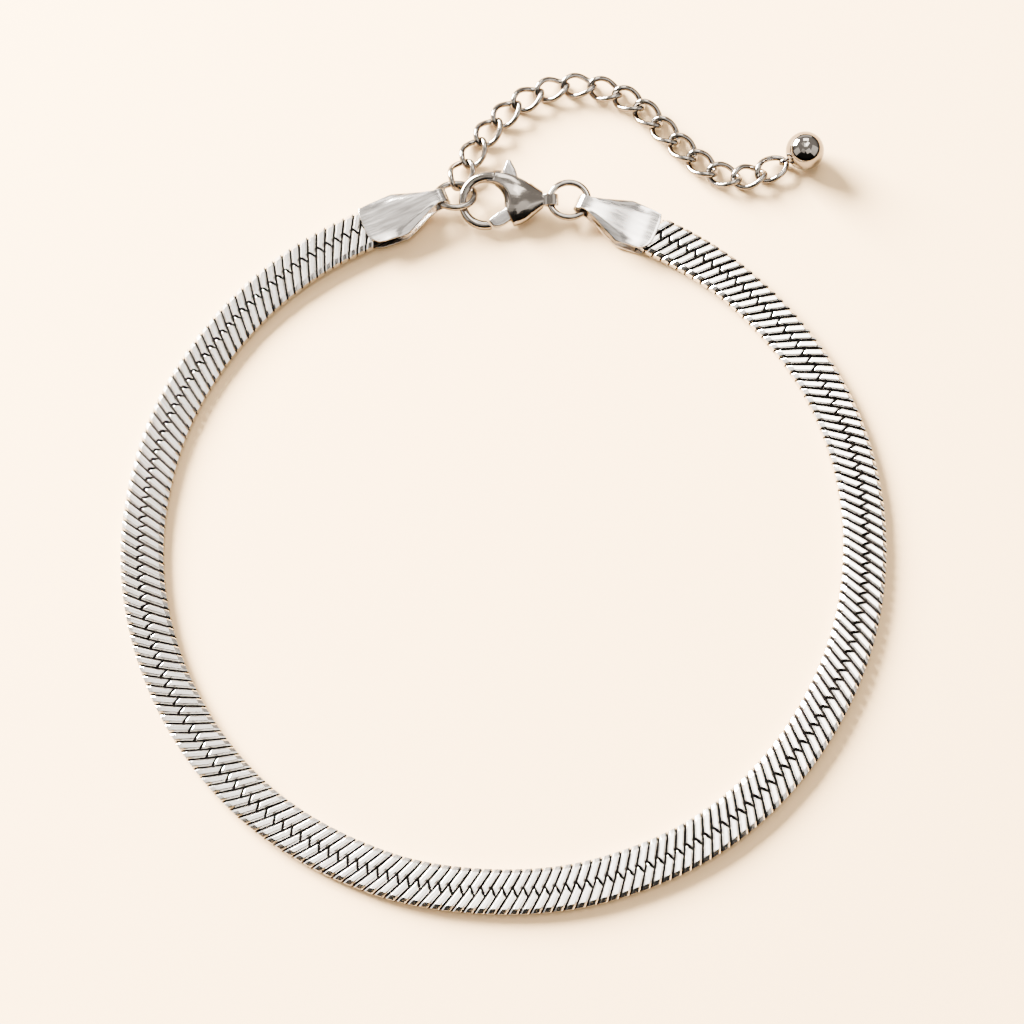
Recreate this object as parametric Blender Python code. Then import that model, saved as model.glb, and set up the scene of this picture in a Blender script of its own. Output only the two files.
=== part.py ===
"""Chain anklet lying on a flat surface: a flat herringbone band closed by a lobster clasp,
with a curb extender chain and an end ball. Metres, +Z up, +X to the viewer's right, the
viewer on the -Y side. Faces point out and every piece is one closed body.
"""
import math

import bmesh
import bpy
from mathutils import Matrix, Vector

MM = 0.001

# Loop of the band, as it lies
LOOP_RADIUS = 36.75 * MM
CLOSURE_BEARING = 88.6
# Chosen by hand: bearing in degrees round the loop, share by which the radius differs there
LOOP_SHAPE = (
    (114, -0.003), (145, -0.006), (165, -0.001), (190, 0.006), (225, 0.006), (250, -0.004),
    (268, -0.009), (285, -0.005), (308, 0.002), (330, -0.0005), (350, 0.0025), (380, 0.004),
    (405, 0.0), (424, -0.004),
)

# Herringbone band
BAND_WIDTH = 4.45 * MM
BAND_THICKNESS = 1.2 * MM
BAND_CHAMFER = 0.36 * MM
BAND_CHAMFER_DROP = 0.3 * MM
LINK_PITCH = 1.044 * MM
GROOVE_DEPTH = 0.1 * MM
GROOVE_HALF_WIDTH = 0.1 * MM
STRIP_LEAN = 31.5
JOG_LEAN = 35.5
JOG_START = 0.36
JOG_END = 0.57
BAND_SEAT = 3.3 * MM
BAND_LIFT_RUN = 20.0 * MM
TONGUE_TAPER = 0.6

# Folded end caps
CAP_LENGTH = 9.2 * MM
CAP_WIDTH = 4.95 * MM
CAP_SHEET = 0.28 * MM
CAP_CLEARANCE = 0.1 * MM
CAP_FOLD_RADIUS = 0.95 * MM
CAP_TUNNEL_HEIGHT = 1.75 * MM
CAP_TOP_DROP = 0.5 * MM
CAP_BOTTOM_RISE = 0.3 * MM
CAP_NEAR_CORNER = 0.9 * MM
CAP_FAR_CORNER = 0.25 * MM
CAP_CORNER_POWER = 4
LEFT_CAP_TURN = -1.0
RIGHT_CAP_TURN = 3.5
# Rows from the mouth to the fold: share of the length, of the width, of the side flange.
# The band's seat ends at the row numbered SEAT_END_ROW
CAP_ROWS = (
    (0.0, 0.88, 0.05), (0.14, 0.94, 0.12), (0.27, 0.97, 0.4), (0.40, 1.0, 1.0),
    (0.56, 0.74, 0.85), (0.72, 0.46, 0.4), (0.85, 0.31, 0.0),
)
SEAT_END_ROW = 3
# Places across a leaf, as shares of its half width, and the share of the drop there
CAP_ACROSS = ((-1.0, 1.0), (-0.8, 0.38), (-0.45, 0.06), (0.0, 0.0), (0.45, 0.06), (0.8, 0.38), (1.0, 1.0))

# How the closure lies, piece after piece from the left cap's fold
LEFT_RING_BEARING = 14.0
HOOK_BEARING = -12.5
CLASP_BEARING = 1.0
RIGHT_RING_BEARING = -22.3

# Jump rings
RING_RADIUS = 2.05 * MM
RING_WIRE = 0.56 * MM
LEFT_RING_TILT = 24.0
LEFT_RING_HEIGHT = 1.66 * MM
RIGHT_RING_TILT = -8.0
RING_SIDES = 16

# Lobster clasp, in its own frame: origin near the hook's centre, +X to the tail
HOOK_OPENING = 2.0 * MM
HOOK_OFFSET = 0.25 * MM
HOOK_SLACK = 0.49 * MM
CLASP_HEIGHT = 1.66 * MM
CLASP_ROLL = 16.0
CLASP_LENGTH = 6.6 * MM
# Hook from its tip round to the body: angle, half width and half height in shares of HOOK_WIRE
HOOK_WIRE = 1.0 * MM
HOOK_ROWS = (
    (282, 0.52, 0.60), (255, 0.53, 0.56), (235, 0.51, 0.52), (215, 0.48, 0.45), (195, 0.45, 0.40),
    (175, 0.44, 0.38), (155, 0.46, 0.38), (135, 0.50, 0.40), (118, 0.54, 0.48), (100, 0.59, 0.60),
    (84, 0.66, 0.76), (70, 0.74, 0.88),
)
# Body from the hook to the neck, which runs a little into the tail eye: shares of the body's
# length, then of BODY_WIDTH for the two edges, then of BODY_HEIGHT
NECK_OVERLAP = 0.25 * MM
BODY_WIDTH = 6.4 * MM
BODY_HEIGHT = 2.5 * MM
BODY_ROWS = (
    (0.0, 0.515, -0.43, 0.70), (0.2, 0.525, -0.44, 0.88), (0.4, 0.495, -0.43, 0.98), (0.55, 0.43, -0.40, 1.0),
    (0.7, 0.36, -0.34, 0.90), (0.85, 0.25, -0.235, 0.74), (1.0, 0.15, -0.13, 0.58),
)
# Face that the lever's gate closes on, and the lever's pivot: places in shares of HOOK_OPENING
GATE_LINE = ((0.86, -0.15), (1.475, -1.7))
PIVOT_PLACE = (1.6, -0.4)
EYE_RADIUS = 0.95 * MM
EYE_HOLE = 0.52 * MM
EYE_LENGTH = 1.2 * MM

# Lever of the clasp
PIVOT_RADIUS = 0.3 * MM
PIVOT_CLEARANCE = 0.06 * MM
PIVOT_LENGTH_SHARE = 0.8
LEVER_THICKNESS = 0.8 * MM
LEVER_CLEARANCE = 0.08 * MM
LEVER_OPENING = 22.0
HOOK_TIP_LEAN = 40.0
HOOK_TIP_SHARE = 0.1
# Lever outline round from the gate's tip: places in shares of HOOK_OPENING
LEVER_OUTLINE = (
    (-0.01, -0.99), (0.225, -0.81), (0.5, -0.61), (0.8, -0.46), (1.075, -0.25), (1.15, 0.15), (1.025, 0.95),
    (0.825, 1.6), (1.025, 2.1), (1.15, 2.25), (1.275, 2.175), (1.55, 1.65), (1.7, 1.0), (1.875, 0.2),
    (2.025, -0.2), (2.0, -0.55), (1.8, -0.775), (1.55, -0.83), (1.25, -1.0), (0.9, -1.25), (0.6, -1.36),
    (0.31, -1.38),
)

# Extender chain and ball
LINK_STEP = 2.94 * MM
LOOSE_STEP = 2.74 * MM
LOOSE_FROM = 9
LAST_STEP = 2.55 * MM
LINK_WIRE = 0.46 * MM
LINK_WIDTH = 3.1 * MM
LINK_GAP = 0.085 * MM
LINK_TWIST = 45.0
RING_TWIST = 50.0
EYE_TWIST = 15.0
LINK_COUNT = 16
LINK_SIDES = 14
LINK_HEIGHT = 0.74 * MM
FIRST_LINK_RISE = 0.12 * MM
FIRST_LINK_ROLL = 12.0
FIRST_LINK_SLACK = 0.08 * MM
FIRST_LINK_SIDE = 0.06
FIRST_LINK_HEADING = 61.0
BALL_RADIUS = 2.05 * MM
BALL_EYE_RADIUS = 0.5 * MM
BALL_EYE_WIRE = 0.32 * MM
BALL_EYE_STAND = 0.8
BALL_EYE_SIDES = 12
BALL_TURN = -12.0
# Chosen by hand: the extender's way over the surface, from the left jump ring's centre
EXTENDER_ROUTE = (
    (-0.25 * MM, 1.0 * MM), (0.58 * MM, 2.96 * MM), (3.28 * MM, 7.79 * MM), (7.74 * MM, 12.06 * MM),
    (13.43 * MM, 13.57 * MM), (18.86 * MM, 11.7 * MM), (22.86 * MM, 7.55 * MM), (26.73 * MM, 3.63 * MM),
    (29.36 * MM, 2.48 * MM), (32.06 * MM, 2.51 * MM), (34.09 * MM, 3.85 * MM), (38.0 * MM, 5.1 * MM),
)

# Fineness: bevel level of the wires (6 sides), halvings when a place on the route is sought,
# steps along curved lines and sides of round pieces
WIRE_SIDES_LEVEL = 1
HALVINGS = 20
LOOP_STEPS = 360
CURVE_STEPS = 12
FOLD_STEPS = 5
HOOK_SIDES = 10
BODY_SIDES = 16
OPENING_SIDES = 24
EYE_SIDES = 16
PIN_SIDES = 12
BALL_SEGMENTS = 16
BALL_RINGS = 12


def clear_scene():
    """Remove what the scene holds at the start."""
    for item in list(bpy.data.objects):
        bpy.data.objects.remove(item, do_unlink=True)


def steel(name, colour, roughness):
    """A plain metal material."""
    material = bpy.data.materials.new(name)
    material.use_nodes = True
    shader = material.node_tree.nodes["Principled BSDF"]
    shader.inputs["Base Color"].default_value = (*colour, 1.0)
    shader.inputs["Roughness"].default_value = roughness
    shader.inputs["Metallic"].default_value = 1.0
    return material


def turned(length, degrees):
    """A vector of a length at a bearing in the plane."""
    angle = math.radians(degrees)
    return Vector((length * math.cos(angle), length * math.sin(angle)))


def add_object(name, data, material=None):
    """Link a mesh or curve into the scene under a plain name."""
    item = bpy.data.objects.new(name, data)
    bpy.context.scene.collection.objects.link(item)
    if material is not None:
        data.materials.append(material)
    return item


def finish_mesh(bm, name, sharp=35.0):
    """Turn a bmesh into a mesh with outward faces and smooth shading."""
    bmesh.ops.recalc_face_normals(bm, faces=bm.faces)
    mesh = bpy.data.meshes.new(name)
    bm.to_mesh(mesh)
    bm.free()
    mesh.shade_smooth()
    mesh.set_sharp_from_angle(angle=math.radians(sharp))
    return mesh


def skin(name, rings, ends=True, sharp=35.0):
    """A closed body over rings of points that follow each other."""
    bm = bmesh.new()
    loops = [[bm.verts.new(point) for point in ring] for ring in rings]
    count = len(loops[0])
    for first, second in zip(loops, loops[1:]):
        for i in range(count):
            j = (i + 1) % count
            bm.faces.new((first[i], first[j], second[j], second[i]))
    if ends:
        bm.faces.new(loops[0])
        bm.faces.new(loops[-1])
    return finish_mesh(bm, name, sharp)


def prism(name, outline, low, high):
    """A flat plate with a plan outline."""
    bm = bmesh.new()
    face = bm.faces.new([bm.verts.new((x, y, low)) for x, y in outline])
    top = bmesh.ops.extrude_face_region(bm, geom=[face])
    moved = [v for v in top["geom"] if isinstance(v, bmesh.types.BMVert)]
    bmesh.ops.translate(bm, verts=moved, vec=(0.0, 0.0, high - low))
    return finish_mesh(bm, name)


def drum(name, radius, length, sides, placing):
    """A round bar along its own Z, placed by a matrix."""
    bm = bmesh.new()
    bmesh.ops.create_cone(
        bm, cap_ends=True, segments=sides, radius1=radius, radius2=radius, depth=length, matrix=placing
    )
    return finish_mesh(bm, name)


def wire_loop(name, points, radius, material):
    """A closed wire through points, as a bevelled curve."""
    curve = bpy.data.curves.new(name, "CURVE")
    curve.dimensions = "3D"
    curve.bevel_depth = radius
    curve.bevel_resolution = WIRE_SIDES_LEVEL
    spline = curve.splines.new("POLY")
    spline.points.add(len(points) - 1)
    for place, point in zip(spline.points, points):
        place.co = (*point, 1.0)
        place.radius = 1.0
    spline.use_cyclic_u = True
    spline.use_smooth = True
    return add_object(name, curve, material)


def helper(name, mesh, placing):
    """A hidden body that a Boolean cuts or joins with."""
    item = add_object(name, mesh)
    item.matrix_world = placing
    item.hide_render = True
    item.display_type = "WIRE"
    return item


def combine(target, tool, operation):
    """Cut a helper from a piece, or join it to the piece."""
    modifier = target.modifiers.new(tool.name, "BOOLEAN")
    modifier.operation = operation
    modifier.object = tool
    modifier.solver = "EXACT"


def eased(table, place):
    """A smooth value between a table's rows at a place."""
    if place <= table[0][0]:
        return table[0][1]
    for (a, low), (b, high) in zip(table, table[1:]):
        if place <= b:
            share = (place - a) / (b - a)
            share = share * share * (3.0 - 2.0 * share)
            return low + (high - low) * share
    return table[-1][1]


def curve_through(points):
    """Points along a smooth curve through a few chosen points."""
    ends = [2 * points[0] - points[1], *points, 2 * points[-1] - points[-2]]
    line = []
    for a, b, c, d in zip(ends, ends[1:], ends[2:], ends[3:]):
        for step in range(CURVE_STEPS):
            t = step / CURVE_STEPS
            line.append(0.5 * (2 * b + (c - a) * t + (2 * a - 5 * b + 4 * c - d) * t * t
                               + (3 * b - a - 3 * c + d) * t ** 3))
    line.append(points[-1])
    return line


class Closure:
    """Where the caps, rings and clasp lie in plan, from their own sizes."""

    def __init__(self):
        reach = CAP_LENGTH - CAP_FOLD_RADIUS - CAP_SHEET / 2
        hook_reach = RING_RADIUS - RING_WIRE / 2 + HOOK_OPENING + HOOK_OFFSET - HOOK_SLACK
        left_ring = turned(RING_RADIUS, LEFT_RING_BEARING)
        hook = left_ring + turned(hook_reach, HOOK_BEARING)
        tail = hook + turned(CLASP_LENGTH, CLASP_BEARING)
        right_ring = tail + turned(RING_RADIUS, 0.0)
        right_tunnel = right_ring + turned(RING_RADIUS, RIGHT_RING_BEARING)
        span = right_tunnel.length
        tunnel_radius = math.hypot(LOOP_RADIUS, reach)
        half_gap = math.degrees(math.asin(span / 2 / tunnel_radius) + math.atan(reach / LOOP_RADIUS))
        self.left_bearing = CLOSURE_BEARING + half_gap
        self.right_bearing = CLOSURE_BEARING - half_gap + 360.0
        self.left_mouth = turned(self.radius_at(self.left_bearing), self.left_bearing)
        self.right_mouth = turned(self.radius_at(self.right_bearing), self.right_bearing)
        self.left_heading = self.left_bearing - 90.0 + LEFT_CAP_TURN
        self.right_heading = self.right_bearing + 90.0 + RIGHT_CAP_TURN
        left_tunnel = self.left_mouth + turned(reach, self.left_heading)
        actual = self.right_mouth + turned(reach, self.right_heading) - left_tunnel
        self.turn = math.degrees(math.atan2(actual.y, actual.x) - math.atan2(right_tunnel.y, right_tunnel.x))
        spin = Matrix.Rotation(math.radians(self.turn), 2)
        slip = (actual.length - span) / 2
        start = left_tunnel + actual.normalized() * slip
        self.left_ring = start + spin @ left_ring
        self.hook = start + spin @ hook
        self.right_ring = start + spin @ right_ring
        self.clasp_bearing = CLASP_BEARING + self.turn

    @staticmethod
    def radius_at(bearing):
        return LOOP_RADIUS * (1.0 + eased(LOOP_SHAPE, bearing))


def band_route(closure):
    """The band's centreline in plan, from inside the left cap to inside the right one."""
    points = [closure.left_mouth + turned(BAND_SEAT, closure.left_heading)]
    first, last = closure.left_bearing, closure.right_bearing
    for i in range(LOOP_STEPS + 1):
        bearing = first + (last - first) * i / LOOP_STEPS
        points.append(turned(closure.radius_at(bearing), bearing))
    points.append(closure.right_mouth + turned(BAND_SEAT, closure.right_heading))
    return points


class Route:
    """Places and directions along a line by the distance travelled."""

    def __init__(self, points):
        self.points = points
        self.marks = [0.0]
        for a, b in zip(points, points[1:]):
            self.marks.append(self.marks[-1] + (b - a).length)
        self.length = self.marks[-1]

    def place(self, distance):
        """Point and unit direction at a distance, straight on past either end."""
        low = 0
        high = len(self.marks) - 2
        while low < high:
            middle = (low + high + 1) // 2
            if self.marks[middle] <= distance:
                low = middle
            else:
                high = middle - 1
        a, b = self.points[low], self.points[low + 1]
        direction = (b - a).normalized()
        return a + direction * (distance - self.marks[low]), direction


def band_section():
    """Cross-section points: side place, height, shift along the band, groove share."""
    half = BAND_WIDTH / 2
    flat = BAND_WIDTH - 2 * BAND_CHAMFER
    lean = math.tan(math.radians(STRIP_LEAN))
    jog = math.tan(math.radians(JOG_LEAN))
    shift_start = JOG_START * flat * lean
    shift_end = shift_start - (JOG_END - JOG_START) * flat * jog
    shift_inner = shift_end + (1.0 - JOG_END) * flat * lean
    middle = shift_inner / 2
    shoulder = BAND_THICKNESS - BAND_CHAMFER_DROP
    return (
        (-half, 0.0, -middle),
        (-half, shoulder, -middle),
        (-half + BAND_CHAMFER, BAND_THICKNESS, -middle),
        (-half + BAND_CHAMFER + JOG_START * flat, BAND_THICKNESS, shift_start - middle),
        (-half + BAND_CHAMFER + JOG_END * flat, BAND_THICKNESS, shift_end - middle),
        (half - BAND_CHAMFER, BAND_THICKNESS, shift_inner - middle),
        (half, shoulder, shift_inner - middle),
        (half, 0.0, shift_inner - middle),
    )


def make_band(closure, material):
    """The herringbone band: grooved strips with a jog at their middle, one solid."""
    route = Route(band_route(closure))
    section = band_section()
    seat_height = CAP_SHEET + CAP_CLEARANCE
    reach = max(abs(shift) for _, _, shift in section) + GROOVE_HALF_WIDTH
    count = int((route.length - 2 * reach) / LINK_PITCH)
    start = (route.length - count * LINK_PITCH) / 2
    stations = [(0.0, 0.0, 0.0)]
    for k in range(count + 1):
        for offset, depth in ((-GROOVE_HALF_WIDTH, 0.0), (0.0, GROOVE_DEPTH), (GROOVE_HALF_WIDTH, 0.0)):
            stations.append((start + k * LINK_PITCH + offset, depth, 1.0))
    stations.append((route.length, 0.0, 0.0))
    rings = []
    for distance, depth, lean in stations:
        ring = []
        for side, height, shift in section:
            along = distance + lean * shift
            point, direction = route.place(along)
            end_room = min(along, route.length - along)
            inside = max(0.0, BAND_SEAT - end_room) / BAND_SEAT
            taper = 1.0 - (1.0 - TONGUE_TAPER) * inside
            lift_share = min(1.0, max(0.0, (end_room - BAND_SEAT) / BAND_LIFT_RUN))
            lift = seat_height * (1.0 - lift_share * lift_share * (3.0 - 2.0 * lift_share))
            inset = depth if abs(side) == BAND_WIDTH / 2 else 0.0
            drop = depth if height == BAND_THICKNESS else 0.0
            across = (abs(side) * taper - inset) * (1.0 if side > 0 else -1.0)
            inward = Vector((-direction.y, direction.x))
            spot = point + inward * across
            ring.append((spot.x, spot.y, height - drop + lift))
        rings.append(ring)
    return add_object("herringbone_chain", skin("herringbone_chain", rings, sharp=20.0), material)


def make_cap(name, mouth, heading, near_side, material):
    """A cap: one sheet folded round the jump ring, its two leaves on the band."""
    half_sheet = CAP_SHEET / 2
    seat_top = CAP_SHEET + 2 * CAP_CLEARANCE + BAND_THICKNESS + half_sheet
    fold_bottom = CAP_TUNNEL_HEIGHT - CAP_FOLD_RADIUS
    fold_top = CAP_TUNNEL_HEIGHT + CAP_FOLD_RADIUS
    fold_start = CAP_LENGTH - CAP_FOLD_RADIUS - half_sheet
    seat_end = CAP_ROWS[SEAT_END_ROW][0]
    last_row = CAP_ROWS[-1][0]

    def leaf(row, seat, fold, drop):
        share, width, flange = row
        rise = min(1.0, max(0.0, (share - seat_end) / (last_row - seat_end)))
        height = seat + (fold - seat) * rise * rise * (3.0 - 2.0 * rise)
        points = []
        for across, sag in CAP_ACROSS:
            side = across * width * CAP_WIDTH / 2
            along = share * CAP_LENGTH
            if share == 0.0:
                near = across * near_side > 0
                corner = CAP_NEAR_CORNER if near else CAP_FAR_CORNER
                along += corner * across ** CAP_CORNER_POWER
            points.append((along, side, height + drop * flange * sag))
        return points

    grid = [leaf(row, half_sheet, fold_bottom, CAP_BOTTOM_RISE) for row in CAP_ROWS]
    fold_half = CAP_ROWS[-1][1] * CAP_WIDTH / 2
    for step in range(FOLD_STEPS + 1):
        angle = math.pi * (step / FOLD_STEPS - 0.5)
        along = fold_start + CAP_FOLD_RADIUS * math.cos(angle)
        height = CAP_TUNNEL_HEIGHT + CAP_FOLD_RADIUS * math.sin(angle)
        grid.append([(along, across * fold_half, height) for across, _ in CAP_ACROSS])
    grid += [leaf(row, seat_top, fold_top, -CAP_TOP_DROP) for row in reversed(CAP_ROWS)]

    bm = bmesh.new()
    lines = [[bm.verts.new(point) for point in line] for line in grid]
    for first, second in zip(lines, lines[1:]):
        for i in range(len(CAP_ACROSS) - 1):
            bm.faces.new((first[i], first[i + 1], second[i + 1], second[i]))
    item = add_object(name, finish_mesh(bm, name, 60.0), material)
    solidify = item.modifiers.new("sheet", "SOLIDIFY")
    solidify.thickness = CAP_SHEET
    solidify.offset = 0.0
    solidify.use_even_offset = True
    item.location = (*mouth, 0.0)
    item.rotation_euler = (0.0, 0.0, math.radians(heading))
    return item


def make_ring(name, centre, height, tilt, material):
    """A jump ring lying in its own tilted plane."""
    points = []
    for i in range(RING_SIDES):
        angle = math.tau * i / RING_SIDES
        points.append((RING_RADIUS * math.cos(angle), RING_RADIUS * math.sin(angle), 0.0))
    item = wire_loop(name, points, RING_WIRE / 2, material)
    item.location = (*centre, height)
    item.rotation_euler = (-math.radians(tilt), 0.0, 0.0)
    return item


def hook_mesh():
    """The hook: a bar of growing oval section round the opening, its tip cut on a slant."""
    rings = []
    for degrees, wide, tall in HOOK_ROWS:
        angle = math.radians(degrees)
        radius = HOOK_OPENING + wide * HOOK_WIRE
        ring = []
        for i in range(HOOK_SIDES):
            turn = math.tau * (i + 0.5) / HOOK_SIDES
            out = radius + wide * HOOK_WIRE * math.cos(turn)
            along = out * math.cos(angle) - HOOK_OFFSET
            ring.append((along, out * math.sin(angle), tall * HOOK_WIRE * math.sin(turn)))
        rings.append(ring)
    return skin("hook", rings)


def body_mesh():
    """The body: a teardrop of oval sections from the hook to the neck."""
    length = CLASP_LENGTH - EYE_RADIUS + NECK_OVERLAP
    rings = []
    for along, top, bottom, tall in BODY_ROWS:
        middle = (top + bottom) / 2 * BODY_WIDTH
        half = (top - bottom) / 2 * BODY_WIDTH
        ring = []
        for i in range(BODY_SIDES):
            turn = math.tau * i / BODY_SIDES
            side = middle + half * math.cos(turn)
            ring.append((along * length, side, tall * BODY_HEIGHT / 2 * math.sin(turn)))
        rings.append(ring)
    return skin("body", rings)


def lever_points(turn_degrees, margin=0.0):
    """The lever's outline in the clasp's frame, swung open by a turn and grown by a margin."""
    pivot = HOOK_OPENING * Vector(PIVOT_PLACE)
    swing = Matrix.Rotation(-math.radians(turn_degrees), 2)
    points = [HOOK_OPENING * Vector(place) for place in LEVER_OUTLINE]
    middle = sum(points, Vector((0.0, 0.0))) / len(points)
    placed = []
    for point in points:
        grown = point + (point - middle).normalized() * margin
        placed.append(pivot + swing @ (grown - pivot))
    return placed


def hull(points):
    """The convex outline round plan points, counter-clockwise."""
    ordered = sorted({(round(p.x, 7), round(p.y, 7)) for p in points})

    def half(sequence):
        line = []
        for point in sequence:
            while len(line) > 1:
                (ax, ay), (bx, by) = line[-2], line[-1]
                if (bx - ax) * (point[1] - ay) - (by - ay) * (point[0] - ax) > 0:
                    break
                line.pop()
            line.append(point)
        return line[:-1]

    return half(ordered) + half(reversed(ordered))


def make_clasp(closure, material):
    """The cast clasp with hook, body, pivot pin and tail eye, and its sprung lever."""
    placing = (
        Matrix.Translation((*closure.hook, CLASP_HEIGHT))
        @ Matrix.Rotation(math.radians(closure.clasp_bearing), 4, "Z")
        @ Matrix.Rotation(math.radians(CLASP_ROLL), 4, "X")
    )
    body = add_object("clasp_body", body_mesh(), material)
    body.matrix_world = placing
    tall = 2 * BODY_HEIGHT

    opening = drum("opening", HOOK_OPENING, tall, OPENING_SIDES, Matrix.Translation((-HOOK_OFFSET, 0.0, 0.0)))
    combine(body, helper("opening_cutter", opening, placing), "DIFFERENCE")
    (upper_x, upper_y), (lower_x, lower_y) = [HOOK_OPENING * Vector(place) for place in GATE_LINE]
    far = -2 * HOOK_OPENING
    wedge = prism("gate_room", ((far, upper_y), (far, lower_y), (lower_x, lower_y), (upper_x, upper_y)), -tall, tall)
    combine(body, helper("gate_room_cutter", wedge, placing), "DIFFERENCE")
    combine(body, helper("hook_bar", hook_mesh(), placing), "UNION")

    tip_x = HOOK_OPENING * HOOK_TIP_SHARE
    tip_y = -HOOK_OPENING - HOOK_ROWS[0][1] * HOOK_WIRE
    lean = math.radians(HOOK_TIP_LEAN)
    tip = Matrix.Translation((tip_x, tip_y, 0.0)) @ Matrix.Rotation(lean, 4, "Z")
    tip_cut = prism("tip_cut", ((0.0, -HOOK_WIRE), (HOOK_WIRE, -HOOK_WIRE), (HOOK_WIRE, HOOK_WIRE), (0.0, HOOK_WIRE)),
                    -tall, tall)
    combine(body, helper("hook_tip_cutter", tip_cut, placing @ tip), "DIFFERENCE")

    swept = []
    for turn_degrees in (0.0, LEVER_OPENING / 2, LEVER_OPENING):
        swept += lever_points(turn_degrees, LEVER_CLEARANCE)
    slot_half = LEVER_THICKNESS / 2 + LEVER_CLEARANCE
    slot = prism("slot", hull(swept), -slot_half, slot_half)
    combine(body, helper("slot_cutter", slot, placing), "DIFFERENCE")

    pivot = HOOK_OPENING * Vector((*PIVOT_PLACE, 0.0))
    pin_length = BODY_HEIGHT * PIVOT_LENGTH_SHARE
    pin = drum("pin", PIVOT_RADIUS, pin_length, PIN_SIDES, Matrix.Translation(pivot))
    combine(body, helper("pivot_pin", pin, placing), "UNION")

    eye_place = Matrix.Translation((CLASP_LENGTH, 0.0, 0.0)) @ Matrix.Rotation(math.pi / 2, 4, "X")
    eye = drum("eye", EYE_RADIUS, EYE_LENGTH, EYE_SIDES, eye_place)
    combine(body, helper("tail_eye", eye, placing), "UNION")
    eye_hole = drum("eye_hole", EYE_HOLE, 2 * EYE_LENGTH, PIN_SIDES, eye_place)
    combine(body, helper("eye_hole_cutter", eye_hole, placing), "DIFFERENCE")

    half = LEVER_THICKNESS / 2
    outline = [(p.x - pivot.x, p.y - pivot.y) for p in lever_points(0.0)]
    lever = add_object("clasp_lever", prism("clasp_lever", outline, -half, half), material)
    lever.matrix_world = placing @ Matrix.Translation(pivot)
    bore = drum("lever_bore", PIVOT_RADIUS + PIVOT_CLEARANCE, 4 * half, PIN_SIDES, Matrix.Identity(4))
    combine(lever, helper("lever_bore_cutter", bore, lever.matrix_world), "DIFFERENCE")
    return body, lever


def link_points(twist_from, twist_to):
    """A curb link's wire line: an oval twisted along its length."""
    half_length = (LINK_STEP + LINK_WIRE + LINK_GAP) / 2
    half_width = (LINK_WIDTH - LINK_WIRE) / 2
    points = []
    for i in range(LINK_SIDES):
        angle = math.tau * i / LINK_SIDES
        along = half_length * math.cos(angle)
        wide = half_width * math.sin(angle)
        share = (along / half_length + 1.0) / 2
        twist = math.radians(twist_from * max(0.0, 1.0 - 2.0 * share) + twist_to * max(0.0, 2.0 * share - 1.0))
        points.append((along, wide * math.cos(twist), wide * math.sin(twist)))
    return points


def extender_joints(closure):
    """Where the links meet in plan, a link's step apart along the extender's way."""
    line = curve_through([closure.left_ring + Vector(point) for point in EXTENDER_ROUTE])
    rear = math.cos(math.radians(LEFT_RING_TILT)) * math.sqrt(1.0 - FIRST_LINK_SIDE ** 2)
    crossing = closure.left_ring + RING_RADIUS * Vector((FIRST_LINK_SIDE, rear))
    inside = (LINK_STEP - RING_WIRE - LINK_GAP) / 2 - FIRST_LINK_SLACK
    joints = [crossing - turned(LINK_STEP / 2 - inside, FIRST_LINK_HEADING)]
    mark = 0
    for number in range(1, LINK_COUNT + 1):
        last = joints[-1]
        step = LINK_STEP if number < LOOSE_FROM else LOOSE_STEP
        step = LAST_STEP if number == LINK_COUNT else step
        while mark < len(line) - 1 and (line[mark] - last).length < step:
            mark += 1
        a, b = line[mark - 1], line[mark]
        for _ in range(HALVINGS):
            middle = (a + b) / 2
            if (middle - last).length < step:
                a = middle
            else:
                b = middle
        joints.append(b)
    return joints


def make_extender(closure, material):
    """The curb links from the left jump ring to the ball."""
    joints = extender_joints(closure)
    for number, (a, b) in enumerate(zip(joints, joints[1:]), 1):
        heading = math.atan2(b.y - a.y, b.x - a.x)
        twist_from = RING_TWIST if number == 1 else LINK_TWIST
        twist_to = -EYE_TWIST if number == LINK_COUNT else -LINK_TWIST
        name = f"extender_link_{number:02d}"
        item = wire_loop(name, link_points(twist_from, twist_to), LINK_WIRE / 2, material)
        middle = (a + b) / 2
        rise, roll = (FIRST_LINK_RISE, FIRST_LINK_ROLL) if number == 1 else (0.0, 0.0)
        item.location = (middle.x, middle.y, LINK_HEIGHT + rise)
        item.rotation_euler = (math.radians(roll), math.atan2(rise, LINK_STEP / 2), heading)
    return joints


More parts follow.
